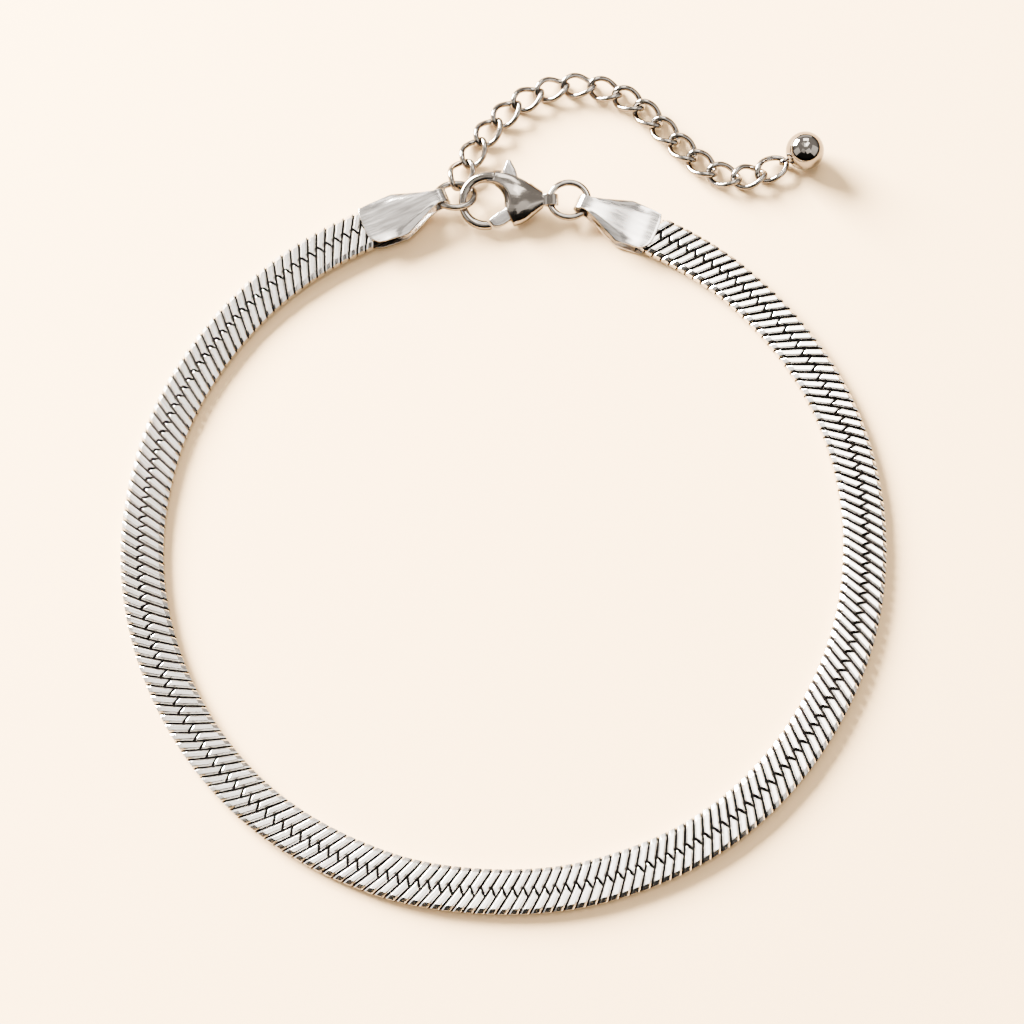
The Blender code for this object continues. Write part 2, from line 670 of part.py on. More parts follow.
def make_ball(joints, material):
    """The end ball with its eye, which the last link passes through."""
    before, last = joints[-2], joints[-1]
    heading = (last - before).normalized()
    away_heading = Matrix.Rotation(math.radians(BALL_TURN), 2) @ heading
    half_length = (LINK_STEP + LINK_WIRE + LINK_GAP) / 2
    near = half_length - LINK_WIRE / 2 - BALL_EYE_WIRE / 2 - LINK_GAP
    eye = (before + last) / 2 + heading * (near + BALL_EYE_RADIUS)
    distance = BALL_RADIUS + BALL_EYE_RADIUS * BALL_EYE_STAND
    rise = BALL_RADIUS - LINK_HEIGHT
    away = math.sqrt(distance * distance - rise * rise)
    centre = eye + away_heading * away
    bm = bmesh.new()
    bmesh.ops.create_uvsphere(bm, u_segments=BALL_SEGMENTS, v_segments=BALL_RINGS, radius=BALL_RADIUS)
    ball = add_object("end_ball", finish_mesh(bm, "end_ball", 60.0), material)
    ball.location = (centre.x, centre.y, BALL_RADIUS)
    points = []
    for i in range(BALL_EYE_SIDES):
        angle = math.tau * i / BALL_EYE_SIDES
        points.append((BALL_EYE_RADIUS * math.cos(angle), 0.0, BALL_EYE_RADIUS * math.sin(angle)))
    loop = wire_loop("ball_eye", points, BALL_EYE_WIRE / 2, None)
    mesh = bpy.data.meshes.new_from_object(loop.evaluated_get(bpy.context.evaluated_depsgraph_get()))
    bpy.data.objects.remove(loop, do_unlink=True)
    placing = Matrix.Translation((eye.x, eye.y, LINK_HEIGHT)) @ Matrix.Rotation(
        math.atan2(away_heading.y, away_heading.x), 4, "Z"
    )
    combine(ball, helper("ball_eye_ring", mesh, placing), "UNION")


def centre_on_origin():
    """Move everything so the visible pieces' box stands centred on the origin."""
    bpy.context.view_layer.update()
    graph = bpy.context.evaluated_depsgraph_get()
    low = Vector((1e9, 1e9, 1e9))
    high = -low
    for item in bpy.context.scene.objects:
        if item.hide_render:
            continue
        solid = item.evaluated_get(graph)
        mesh = solid.to_mesh()
        for vertex in mesh.vertices:
            point = item.matrix_world @ vertex.co
            low = Vector(map(min, low, point))
            high = Vector(map(max, high, point))
        solid.to_mesh_clear()
    shift = Vector((-(low.x + high.x) / 2, -(low.y + high.y) / 2, -low.z))
    for item in bpy.context.scene.objects:
        item.location = item.location + shift
    bpy.context.view_layer.update()
    return shift


def build():
    clear_scene()
    band_steel = steel("band_steel", (0.72, 0.70, 0.68), 0.32)
    sheet_steel = steel("sheet_steel", (0.74, 0.72, 0.70), 0.28)
    bright_steel = steel("bright_steel", (0.78, 0.75, 0.72), 0.15)
    mirror_steel = steel("mirror_steel", (0.80, 0.78, 0.76), 0.05)
    closure = Closure()
    make_band(closure, band_steel)
    make_cap("end_cap_left", closure.left_mouth, closure.left_heading, -1, sheet_steel)
    make_cap("end_cap_right", closure.right_mouth, closure.right_heading, 1, sheet_steel)
    make_ring("jump_ring_left", closure.left_ring, LEFT_RING_HEIGHT, LEFT_RING_TILT, bright_steel)
    make_ring("jump_ring_right", closure.right_ring, CLASP_HEIGHT, RIGHT_RING_TILT, bright_steel)
    body, lever = make_clasp(closure, bright_steel)
    joints = make_extender(closure, bright_steel)
    make_ball(joints, mirror_steel)
    shift = centre_on_origin()
    axis = lever.matrix_world.to_3x3() @ Vector((0.0, 0.0, 1.0))
    print("loop centre at", [round(value, 6) for value in shift])
    print("lever pivot at", [round(value, 6) for value in lever.matrix_world.translation])
    print("lever axis", [round(value, 6) for value in axis])


build()
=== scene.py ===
# %% [markdown]
# A herringbone anklet lies on warm white paper. Its band is woven of flat steel bars, its two
# ends are clamped in folded sheet caps, and a lobster clasp closes the loop. This notebook
# dresses the plain solids of the anklet, piece by piece, in the order a maker works: the
# chain first, then its ends, then the clasp and the little extender chain.

# %% Open the frame and note its size
import math

import bmesh
import bpy
from mathutils import Matrix, Vector
from mathutils.geometry import convex_hull_2d


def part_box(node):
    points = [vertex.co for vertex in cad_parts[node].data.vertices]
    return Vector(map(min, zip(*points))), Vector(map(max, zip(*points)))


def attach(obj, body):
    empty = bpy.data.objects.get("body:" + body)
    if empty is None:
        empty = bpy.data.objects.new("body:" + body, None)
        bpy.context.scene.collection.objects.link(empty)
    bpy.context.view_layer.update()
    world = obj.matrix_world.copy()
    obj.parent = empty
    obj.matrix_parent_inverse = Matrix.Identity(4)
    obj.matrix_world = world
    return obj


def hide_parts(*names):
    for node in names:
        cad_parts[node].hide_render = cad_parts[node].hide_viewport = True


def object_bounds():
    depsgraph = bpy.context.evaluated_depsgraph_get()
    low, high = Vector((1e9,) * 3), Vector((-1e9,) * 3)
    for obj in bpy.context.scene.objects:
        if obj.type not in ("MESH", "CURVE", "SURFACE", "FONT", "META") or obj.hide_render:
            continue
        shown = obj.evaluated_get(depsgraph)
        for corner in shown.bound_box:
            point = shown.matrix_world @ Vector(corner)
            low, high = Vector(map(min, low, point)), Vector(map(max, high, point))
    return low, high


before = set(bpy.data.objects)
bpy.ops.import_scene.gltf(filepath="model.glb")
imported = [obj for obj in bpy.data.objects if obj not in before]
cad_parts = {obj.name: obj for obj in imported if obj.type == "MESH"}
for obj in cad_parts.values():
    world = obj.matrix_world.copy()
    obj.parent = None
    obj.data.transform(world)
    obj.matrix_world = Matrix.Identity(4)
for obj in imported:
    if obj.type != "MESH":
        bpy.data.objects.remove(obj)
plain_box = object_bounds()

MM = 0.001
scene = bpy.context.scene
print("plain solids:", len(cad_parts), "nodes, box", plain_box)

# %% [markdown]
# Everything here follows the same few rules as the solids: the loop's radius, the length of a
# ring, the reach of a hook. They are written down once, in millimetres times MM, and the
# closure of the loop is worked out from them. The right jump ring tells where the middle of
# the loop is, so nothing is placed by eye.

# %% Sizes of the loop and its closure
LOOP_RADIUS = 36.75 * MM
CLOSURE_BEARING = 88.6
LOOP_SHAPE = (
    (114, -0.003), (145, -0.006), (165, -0.001), (190, 0.006), (225, 0.006), (250, -0.004),
    (268, -0.009), (285, -0.005), (308, 0.002), (330, -0.0005), (350, 0.0025), (380, 0.004),
    (405, 0.0), (424, -0.004),
)
BAND_SEAT = 3.3 * MM
BAND_LIFT_RUN = 20.0 * MM
CAP_LENGTH = 9.2 * MM
CAP_SHEET = 0.28 * MM
CAP_CLEARANCE = 0.1 * MM
CAP_FOLD_RADIUS = 0.95 * MM
LEFT_CAP_TURN = -1.0
RIGHT_CAP_TURN = 3.5
LEFT_RING_BEARING = 14.0
HOOK_BEARING = -12.5
CLASP_BEARING = 1.0
RIGHT_RING_BEARING = -22.3
RING_RADIUS = 2.05 * MM
RING_WIRE = 0.56 * MM
HOOK_OPENING = 2.0 * MM
HOOK_OFFSET = 0.25 * MM
HOOK_SLACK = 0.49 * MM
CLASP_LENGTH = 6.6 * MM


def turned(length, degrees):
    """A vector of a length at a bearing in the plane."""
    angle = math.radians(degrees)
    return Vector((length * math.cos(angle), length * math.sin(angle)))


def eased(table, place):
    """A smooth value between a table's rows at a place."""
    if place <= table[0][0]:
        return table[0][1]
    for (a, low), (b, high) in zip(table, table[1:]):
        if place <= b:
            share = (place - a) / (b - a)
            share = share * share * (3.0 - 2.0 * share)
            return low + (high - low) * share
    return table[-1][1]


def radius_at(bearing):
    return LOOP_RADIUS * (1.0 + eased(LOOP_SHAPE, bearing))


# %% Where the caps, rings and clasp lie
cap_reach = CAP_LENGTH - CAP_FOLD_RADIUS - CAP_SHEET / 2
hook_reach = RING_RADIUS - RING_WIRE / 2 + HOOK_OPENING + HOOK_OFFSET - HOOK_SLACK
row_left_ring = turned(RING_RADIUS, LEFT_RING_BEARING)
row_hook = row_left_ring + turned(hook_reach, HOOK_BEARING)
row_right_ring = row_hook + turned(CLASP_LENGTH, CLASP_BEARING) + turned(RING_RADIUS, 0.0)
row_right_fold = row_right_ring + turned(RING_RADIUS, RIGHT_RING_BEARING)
half_row = math.asin(row_right_fold.length / 2 / math.hypot(LOOP_RADIUS, cap_reach))
half_gap = math.degrees(half_row + math.atan(cap_reach / LOOP_RADIUS))
left_bearing = CLOSURE_BEARING + half_gap
right_bearing = CLOSURE_BEARING - half_gap + 360.0
left_mouth = turned(radius_at(left_bearing), left_bearing)
right_mouth = turned(radius_at(right_bearing), right_bearing)
left_heading = left_bearing - 90.0 + LEFT_CAP_TURN
right_heading = right_bearing + 90.0 + RIGHT_CAP_TURN
left_fold = left_mouth + turned(cap_reach, left_heading)
fold_to_fold = right_mouth + turned(cap_reach, right_heading) - left_fold
row_turn = math.atan2(fold_to_fold.y, fold_to_fold.x) - math.atan2(row_right_fold.y, row_right_fold.x)
row_spin = Matrix.Rotation(row_turn, 2)
row_start = left_fold + fold_to_fold.normalized() * (fold_to_fold.length - row_right_fold.length) / 2

ring_low, ring_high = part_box("jump_ring_right")
loop_centre = (Vector(ring_low) + Vector(ring_high)).to_2d() / 2 - (row_start + row_spin @ row_right_ring)
left_ring = loop_centre + row_start + row_spin @ row_left_ring
right_ring = loop_centre + row_start + row_spin @ row_right_ring
hook = loop_centre + row_start + row_spin @ row_hook
left_mouth = left_mouth + loop_centre
right_mouth = right_mouth + loop_centre
clasp_heading = math.radians(CLASP_BEARING) + row_turn
print("middle of the loop, mm:", [round(value / MM, 3) for value in loop_centre])

# %% [markdown]
# Geometry Nodes will repeat the bars and the links. A tree is a recipe, so its sizes are
# inputs with names. A few helpers keep the recipes short: one starts a tree with its inputs,
# one adds a node and plugs in whatever it is given, and the others do a step of arithmetic,
# run a finished tree, and close a mesh.


# %% Helpers for node trees
def start_tree(name, inputs):
    """A geometry tree with named inputs, and its input and output nodes."""
    tree = bpy.data.node_groups.new(name, "GeometryNodeTree")
    tree.interface.new_socket(name="Geometry", in_out="INPUT", socket_type="NodeSocketGeometry")
    for label, kind in inputs:
        tree.interface.new_socket(name=label, in_out="INPUT", socket_type="NodeSocket" + kind)
    tree.interface.new_socket(name="Geometry", in_out="OUTPUT", socket_type="NodeSocketGeometry")
    return tree, tree.nodes.new("NodeGroupInput"), tree.nodes.new("NodeGroupOutput")


def add_node(tree, kind, plugs=None, **settings):
    """A node with its settings made. A plug is a value, a socket or a node's first output."""
    node = tree.nodes.new(kind)
    for key, value in settings.items():
        setattr(node, key, value)
    for key, value in (plugs or {}).items():
        if isinstance(value, bpy.types.Node):
            value = value.outputs[0]
        if isinstance(value, bpy.types.NodeSocket):
            tree.links.new(value, node.inputs[key])
        else:
            node.inputs[key].default_value = value
    return node


def reckon(tree, operation, *values):
    """The result of one step of arithmetic on numbers or sockets."""
    return add_node(tree, "ShaderNodeMath", dict(enumerate(values)), operation=operation)


def stretch_range(tree, value, old_range, new_range, way="LINEAR"):
    """A value carried from one range to another."""
    (low, high), (start, end) = old_range, new_range
    return add_node(tree, "ShaderNodeMapRange", {
        "Value": value, "From Min": low, "From Max": high, "To Min": start, "To Max": end,
    }, interpolation_type=way)


def apply_tree(item, tree, values, name):
    """Run a tree on an object and keep the result as a plain mesh in a new object."""
    modifier = item.modifiers.new("recipe", "NODES")
    modifier.node_group = tree
    for socket in tree.interface.items_tree:
        if socket.in_out == "INPUT" and socket.name in values:
            modifier[socket.identifier] = values[socket.name]
    mesh = baked_mesh(item)
    mesh.name = name
    bpy.data.objects.remove(item, do_unlink=True)
    return set_down(name, mesh)


def baked_mesh(item):
    """A plain mesh of an object as its modifiers leave it."""
    bpy.context.view_layer.update()
    depsgraph = bpy.context.evaluated_depsgraph_get()
    solid = item.evaluated_get(depsgraph)
    return bpy.data.meshes.new_from_object(solid, preserve_all_data_layers=True, depsgraph=depsgraph)


def set_down(name, data):
    """Link a mesh, curve, light or camera into the scene as an object at the origin."""
    item = bpy.data.objects.new(name, data)
    scene.collection.objects.link(item)
    return item


def mesh_from(bm, name, sharp=30.0):
    """Close a bmesh into a mesh with outward faces, smooth but for its sharp edges."""
    bmesh.ops.recalc_face_normals(bm, faces=bm.faces)
    mesh = bpy.data.meshes.new(name)
    bm.to_mesh(mesh)
    bm.free()
    mesh.shade_smooth()
    mesh.set_sharp_from_angle(angle=math.radians(sharp))
    return mesh


def skin(name, rings):
    """A closed body over rings of points that follow each other."""
    bm = bmesh.new()
    loops = [[bm.verts.new(point) for point in ring] for ring in rings]
    count = len(loops[0])
    for first, second in zip(loops, loops[1:]):
        for i in range(count):
            j = (i + 1) % count
            bm.faces.new((first[i], first[j], second[j], second[i]))
    bm.faces.new(loops[0])
    bm.faces.new(loops[-1])
    return mesh_from(bm, name)


# %% [markdown]
# Steel has almost no colour of its own. What tells the pieces apart is how finely each was
# polished: the ball is a mirror, the clasp and rings are bright, the sheet caps carry long
# scratches, and the bars of the band are brushed along their length. One helper makes them
# all from a base colour and a roughness, and streaks stretched along one direction do the rest.
# The last one, near black, is no finish but painted shade for the gaps in the band.


# %% Steel finishes
SCRATCH_DEPTH = 0.02 * MM
# How far apart two bars lie in the streaks' noise
STREAK_SHIFT = 40.0


def steel(name, colour, roughness):
    """A metal with an even finish."""
    material = bpy.data.materials.new(name)
    material.use_nodes = True
    shader = material.node_tree.nodes["Principled BSDF"]
    shader.inputs["Base Color"].default_value = (*colour, 1.0)
    shader.inputs["Metallic"].default_value = 1.0
    shader.inputs["Roughness"].default_value = roughness
    return material


def streaks(material, stretch, tones, rough_range, bump, number=None):
    """Fine scratches, long in one direction, in the tone, the gloss and the surface."""
    tree = material.node_tree
    shader = tree.nodes["Principled BSDF"]
    coordinates = add_node(tree, "ShaderNodeTexCoord")
    mapping = add_node(tree, "ShaderNodeMapping", {"Vector": coordinates.outputs["UV"], "Scale": stretch})
    grain = {"Vector": mapping, "Scale": 1.0, "Detail": 4.0}
    noise = add_node(tree, "ShaderNodeTexNoise", grain, noise_dimensions="4D")
    if number:
        own_number = add_node(tree, "ShaderNodeAttribute", attribute_name=number)
        shift = reckon(tree, "MULTIPLY", own_number.outputs["Fac"], STREAK_SHIFT)
        tree.links.new(shift.outputs[0], noise.inputs["W"])
    share = stretch_range(tree, noise.outputs["Fac"], (0.3, 0.7), (0.0, 1.0))
    blend = {"Factor": share, 6: (*tones[0], 1.0), 7: (*tones[1], 1.0)}
    tone = add_node(tree, "ShaderNodeMix", blend, data_type="RGBA")
    gloss = stretch_range(tree, share, (0.0, 1.0), rough_range)
    relief = add_node(tree, "ShaderNodeBump", {
        "Height": noise.outputs["Fac"], "Strength": bump, "Distance": SCRATCH_DEPTH,
    })
    tree.links.new(tone.outputs[2], shader.inputs["Base Color"])
    tree.links.new(gloss.outputs["Result"], shader.inputs["Roughness"])
    tree.links.new(relief.outputs["Normal"], shader.inputs["Normal"])


brushed_steel = steel("brushed_steel", (0.75, 0.72, 0.68), 0.2)
bar_tones = ((0.54, 0.51, 0.47), (0.90, 0.86, 0.81))
streaks(brushed_steel, (10.0, 0.5, 1.0), bar_tones, (0.15, 0.23), 0.35, "bar")
sheet_steel = steel("sheet_steel", (0.50, 0.47, 0.44), 0.2)
sheet_tones = ((0.30, 0.28, 0.26), (0.54, 0.51, 0.48))
streaks(sheet_steel, (1.2, 14.0, 1.0), sheet_tones, (0.12, 0.22), 0.3)
bright_steel = steel("bright_steel", (0.185, 0.165, 0.145), 0.14)
satin_steel = steel("satin_steel", (0.34, 0.32, 0.30), 0.24)
mirror_steel = steel("mirror_steel", (0.20, 0.18, 0.16), 0.04)
# Near black and rough: painted shade, not a steel finish, for the bars' flanks in the gaps and the strip
# under the bars
gap_steel = steel("gap_steel", (0.016, 0.013, 0.011), 0.7)
print("finishes:", [material.name for material in bpy.data.materials])

# %% [markdown]
# The band. A herringbone chain is a row of flat steel bars, each lying aslant across the
# chain and broken near its middle by a short gap that leans the other way. The gaps of all
# the bars together draw the zigzag down the chain. First comes the way that the band takes
# round the loop, a little raised where it enters the caps.

# %% The way of the band
ROUTE_STEPS = 720
band_way = [left_mouth + turned(BAND_SEAT, left_heading)]
for step in range(ROUTE_STEPS + 1):
    bearing = left_bearing + (right_bearing - left_bearing) * step / ROUTE_STEPS
    band_way.append(loop_centre + turned(radius_at(bearing), bearing))
band_way.append(right_mouth + turned(BAND_SEAT, right_heading))
marks = [0.0]
for here, there in zip(band_way, band_way[1:]):
    marks.append(marks[-1] + (there - here).length)
band_length = marks[-1]


def seat_lift(mark):
    """How far the band is raised above the paper at a place along it."""
    room = min(mark, band_length - mark)
    share = min(1.0, max(0.0, (room - BAND_SEAT) / BAND_LIFT_RUN))
    return (CAP_SHEET + CAP_CLEARANCE) * (1.0 - share * share * (3.0 - 2.0 * share))


way_curve = bpy.data.curves.new("band_way", "CURVE")
way_curve.dimensions = "3D"
way_spline = way_curve.splines.new("POLY")
way_spline.points.add(len(band_way) - 1)
for knot, place, mark in zip(way_spline.points, band_way, marks):
    knot.co = (place.x, place.y, seat_lift(mark), 1.0)
way_object = set_down("band_way", way_curve)
print("band length, mm:", round(band_length / MM, 1))

# %% [markdown]
# One bar comes next, made straight: X runs along the chain, Y from its outer to its inner
# edge. A bar is two halves with the slanting gap between them. Each half is a small grid
# whose edges drop away in two steps, which is how real bars, cut and tumbled, catch a bright
# line along every edge.

# %% Sizes of a bar
BAND_WIDTH = 4.45 * MM
BAND_THICKNESS = 1.2 * MM
BAND_CHAMFER = 0.36 * MM
LINK_PITCH = 1.044 * MM
STRIP_LEAN = 31.5
JOG_START = 0.36
JOG_END = 0.57
BAR_GAP = 0.215 * MM
JOG_GAP = 0.23 * MM
TONGUE_TAPER = 0.6
BAR_TILT = math.radians(0.4)
BAR_FOOT = 0.06 * MM
# Share of a bar's own edge drop that still shows on the chain's edges
EDGE_DIP = 0.25
# Faces that meet at less than this angle are shaded as one
BAR_SHARP = 18.0
half_width = BAND_WIDTH / 2
flat_width = BAND_WIDTH - 2 * BAND_CHAMFER
lean = math.tan(math.radians(STRIP_LEAN))
flat_edge = -half_width + BAND_CHAMFER
# Across a bar: share of its width, drop of the surface there
BAR_ACROSS = (
    (0.0, 0.27 * MM), (0.03, 0.13 * MM), (0.17, 0.015 * MM), (0.22, 0.0), (0.4, 0.0), (0.6, 0.0),
    (0.73, 0.0), (0.78, 0.03 * MM), (0.96, 0.19 * MM), (1.0, 0.32 * MM),
)
# Along a half bar, from the chain's edge: distance from the edge, height below the top
EDGE_ROWS = (
    (0.015 * MM, 0.47 * MM), (0.05 * MM, 0.35 * MM), (0.45 * MM, 0.035 * MM),
    (0.50 * MM, 0.0), (0.65 * MM, 0.0),
)
# Along a half bar, towards the gap in its middle: distance from the gap, height below the top
JOG_ROWS = ((0.30 * MM, 0.0), (0.10 * MM, 0.0), (0.02 * MM, 0.05 * MM), (0.0, 0.2 * MM))


# %% One bar, in two halves
def half_bar(bm, uv_layer, side):
    """Half a bar from the chain's outer edge (side -1) or inner edge (side 1) to the gap."""
    rows = [(side * (half_width - away), None, drop) for away, drop in EDGE_ROWS]
    rows += [(None, away, drop) for away, drop in JOG_ROWS]
    start = flat_edge + JOG_END * flat_width
    end = flat_edge + JOG_START * flat_width
    grid = []
    for place, from_gap, drop in rows:
        line = []
        for share, dip in BAR_ACROSS:
            across = place
            if place is None:
                across = start + (end - start) * share + side * (JOG_GAP / 2 + from_gap)
            along = (across - flat_edge) * lean + BAR_GAP / 2 + share * (LINK_PITCH - BAR_GAP)
            height = BAND_THICKNESS - max(drop + dip * EDGE_DIP, dip)
            line.append(bm.verts.new((along, across, height)))
        grid.append(line)

    def cover(corners, spots):
        face = bm.faces.new(corners)
        for loop, spot in zip(face.loops, spots):
            loop[uv_layer].uv = spot
        return face

    across_shares = [share for share, _ in BAR_ACROSS]
    for i in range(len(grid) - 1):
        for j in range(len(BAR_ACROSS) - 1):
            quad = (grid[i][j], grid[i][j + 1], grid[i + 1][j + 1], grid[i + 1][j])
            lengths = [vertex.co.y / MM for vertex in quad]
            shares = (across_shares[j], across_shares[j + 1], across_shares[j + 1], across_shares[j])
            cover(quad, list(zip(shares, lengths)))
    far_side = [line[-1] for line in grid[1:-1]]
    near_side = [line[0] for line in grid[-2:0:-1]]
    rim = grid[0] + far_side + grid[-1][::-1] + near_side
    foot = [bm.verts.new((vertex.co.x, vertex.co.y, BAR_FOOT)) for vertex in rim]
    for i, vertex in enumerate(rim):
        j = (i + 1) % len(rim)
        quad = (vertex, rim[j], foot[j], foot[i])
        flank = cover(quad, [(0.5, corner.co.z / MM) for corner in quad])
        # Flanks that face the gaps take slot 1, near-black painted shade; the end wall on the chain's edge
        # keeps the brushed finish
        flank.material_index = 0 if i < len(BAR_ACROSS) - 1 else 1
    cover(foot, [(0.5, 0.0)] * len(foot))


bar_bm = bmesh.new()
bar_uv = bar_bm.loops.layers.uv.new("UVMap")
half_bar(bar_bm, bar_uv, -1)
half_bar(bar_bm, bar_uv, 1)
bar_mesh = mesh_from(bar_bm, "bar", BAR_SHARP)
bar_mesh.materials.append(brushed_steel)
bar_mesh.materials.append(gap_steel)
print("one bar:", len(bar_mesh.polygons), "faces")

# %% [markdown]
# The bars could be bent one by one, but a tree does it in one go. It lays the bars in a
# straight row, makes them real, and then moves every point: its X becomes a distance along
# the way, its Y a distance to the inner side, its Z a height. Bars in the caps are drawn in,
# so that they fit the caps' seats. Each bar also remembers a number of its own, and its
# finish varies a little with it.

# %% The tree that lays the bars along the way
band_tree, band_in, band_out = start_tree("lay_bars", (
    ("Way", "Object"), ("Pitch", "Float"), ("First", "Float"), ("Bars", "Int"),
    ("Length", "Float"), ("Seat", "Float"), ("Taper", "Float"), ("Finish", "Material"),
))
given = band_in.outputs
way_info = add_node(band_tree, "GeometryNodeObjectInfo", {"Object": given["Way"]})
first_place = add_node(band_tree, "ShaderNodeCombineXYZ", {"X": given["First"]})
pitch_step = add_node(band_tree, "ShaderNodeCombineXYZ", {"X": given["Pitch"]})
row = add_node(band_tree, "GeometryNodeMeshLine", {
    "Count": given["Bars"], "Start Location": first_place, "Offset": pitch_step,
})
wobble = add_node(band_tree, "FunctionNodeRandomValue", {"Seed": 9}, data_type="FLOAT_VECTOR")
wobble.inputs["Min"].default_value = (-BAR_TILT, -BAR_TILT, 0.0)
wobble.inputs["Max"].default_value = (BAR_TILT, BAR_TILT, 0.0)
wobble_turn = add_node(band_tree, "FunctionNodeEulerToRotation", {0: wobble})
laid = add_node(band_tree, "GeometryNodeInstanceOnPoints", {
    "Points": row, "Instance": given["Geometry"], "Rotation": wobble_turn,
})
chance = add_node(band_tree, "FunctionNodeRandomValue", {"Seed": 4}, data_type="FLOAT")
marked = add_node(band_tree, "GeometryNodeStoreNamedAttribute", {
    "Geometry": laid, "Name": "bar", "Value": chance.outputs[1],
}, data_type="FLOAT", domain="INSTANCE")
real = add_node(band_tree, "GeometryNodeRealizeInstances", {"Geometry": marked})
place = add_node(band_tree, "GeometryNodeInputPosition")
parts = add_node(band_tree, "ShaderNodeSeparateXYZ", {"Vector": place})
sample = add_node(band_tree, "GeometryNodeSampleCurve", {
    "Curves": way_info.outputs["Geometry"], "Length": parts.outputs["X"],
}, mode="LENGTH", use_all_curves=True)
heading = add_node(band_tree, "ShaderNodeSeparateXYZ", {"Vector": sample.outputs["Tangent"]})
leftward = reckon(band_tree, "MULTIPLY", heading.outputs["Y"], -1.0)
inward = add_node(band_tree, "ShaderNodeCombineXYZ", {"X": leftward, "Y": heading.outputs["X"]})
inward_unit = add_node(band_tree, "ShaderNodeVectorMath", {0: inward}, operation="NORMALIZE")
rest = reckon(band_tree, "SUBTRACT", given["Length"], parts.outputs["X"])
room = reckon(band_tree, "MINIMUM", parts.outputs["X"], rest)
taper = stretch_range(band_tree, room, (0.0, given["Seat"]), (given["Taper"], 1.0))
drawn_in = reckon(band_tree, "MULTIPLY", parts.outputs["Y"], taper)
sideways = add_node(band_tree, "ShaderNodeVectorMath", {0: inward_unit, "Scale": drawn_in}, operation="SCALE")
upward = add_node(band_tree, "ShaderNodeCombineXYZ", {"Z": parts.outputs["Z"]})
on_way = add_node(band_tree, "ShaderNodeVectorMath", {0: sample.outputs["Position"], 1: sideways})
on_top = add_node(band_tree, "ShaderNodeVectorMath", {0: on_way, 1: upward})
bent = add_node(band_tree, "GeometryNodeSetPosition", {"Geometry": real, "Position": on_top})
# Faces in slot 0 take the brushed finish; slot 1 keeps its painted shade
slot_number = add_node(band_tree, "GeometryNodeInputMaterialIndex")
same = {2: slot_number, 3: 0}
is_top = add_node(band_tree, "FunctionNodeCompare", same, data_type="INT", operation="EQUAL")
finished = add_node(band_tree, "GeometryNodeSetMaterial", {
    "Geometry": bent, "Selection": is_top, "Material": given["Finish"],
})
band_tree.links.new(finished.outputs[0], band_out.inputs[0])

# %% Lay the bars
slant = half_width * lean
bar_count = int((band_length - 2 * slant) / LINK_PITCH) - 1
first_bar = (band_length - bar_count * LINK_PITCH) / 2 + flat_edge * lean
bar_object = set_down("bar", bar_mesh)
band_bars = apply_tree(bar_object, band_tree, {
    "Way": way_object, "Pitch": LINK_PITCH, "First": first_bar, "Bars": bar_count,
    "Length": band_length, "Seat": BAND_SEAT, "Taper": TONGUE_TAPER, "Finish": brushed_steel,
}, "band_bars")
print("bars:", bar_count, "faces:", len(band_bars.data.polygons))

# %% [markdown]
# Under the bars lies what holds them together: the folded tails of the links. Seen through
# the gaps it lies in shade, so one plain near-black strip along the same way stands for it: painted shade.

# %% The strip of painted shade under the bars
CORE_HALF = 2.05 * MM
CORE_LOW = 0.1 * MM
CORE_HIGH = 0.6 * MM
core_rings = []
for here, there, mark in zip(band_way, band_way[1:], marks):
    along = (there - here).normalized()
    inward_2d = Vector((-along.y, along.x))
    room_left = min(mark, band_length - mark)
    narrow = 1.0 - (1.0 - TONGUE_TAPER) * max(0.0, BAND_SEAT - room_left) / BAND_SEAT
    lift = seat_lift(mark)
    ring = []
    for side, height in ((-1, CORE_LOW), (-1, CORE_HIGH), (1, CORE_HIGH), (1, CORE_LOW)):
        spot = here + inward_2d * side * CORE_HALF * narrow
        ring.append((spot.x, spot.y, height + lift))
    core_rings.append(ring)
core_mesh = skin("band_core", core_rings)
core_mesh.materials.append(gap_steel)
band_core = set_down("band_core", core_mesh)
bpy.data.objects.remove(way_object, do_unlink=True)
for piece in (band_bars, band_core):
    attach(piece, "anklet")
    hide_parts("herringbone_chain")

# %% [markdown]
# The end caps are cut from thin sheet, folded over a jump ring and pressed flat on the band.
# Their outline runs straight between crisp corners, so the rows of this grid stay straight
# between those corners too. Two leaves and the fold between them are one strip of sheet,
# which Solidify then gives its thickness and Bevel its worn edges.

# %% Sizes of a cap
CAP_WIDTH = 4.95 * MM
CAP_TUNNEL_HEIGHT = 1.75 * MM
CAP_TOP_DROP = 0.5 * MM
CAP_BOTTOM_RISE = 0.3 * MM
CAP_NEAR_CORNER = 0.9 * MM
CAP_FAR_CORNER = 0.25 * MM
# From the mouth to the fold: share of the length, of the width, of the side flange
CAP_ROWS = (
    (0.0, 0.88, 0.05), (0.14, 0.94, 0.12), (0.27, 0.97, 0.4), (0.40, 1.0, 1.0),
    (0.56, 0.74, 0.85), (0.72, 0.46, 0.4), (0.85, 0.31, 0.0),
)
CAP_ROW_SPLITS = 4
CAP_CORNER_POWER = 4
CAP_WORN_EDGE = 0.05 * MM
LEFT_CAP_REACH = 0.4 * MM
# Where along the cap its upper leaf starts to rise to the fold
CAP_TOP_RISE = 0.1
SHEET_UV_SIZE = 4 * MM
# Across a leaf: share of its half width, share of the flange's drop
CAP_HALF = (
    (0.3, 0.0), (0.56, 0.03), (0.64, 0.09), (0.7, 0.2), (0.78, 0.4), (0.86, 0.61), (0.93, 0.8), (1.0, 1.0),
)
CAP_ACROSS = (*[(-across, sag) for across, sag in reversed(CAP_HALF)], (0.0, 0.0), *CAP_HALF)
FOLD_ANGLES = [-90 + 15 * step for step in range(13)]


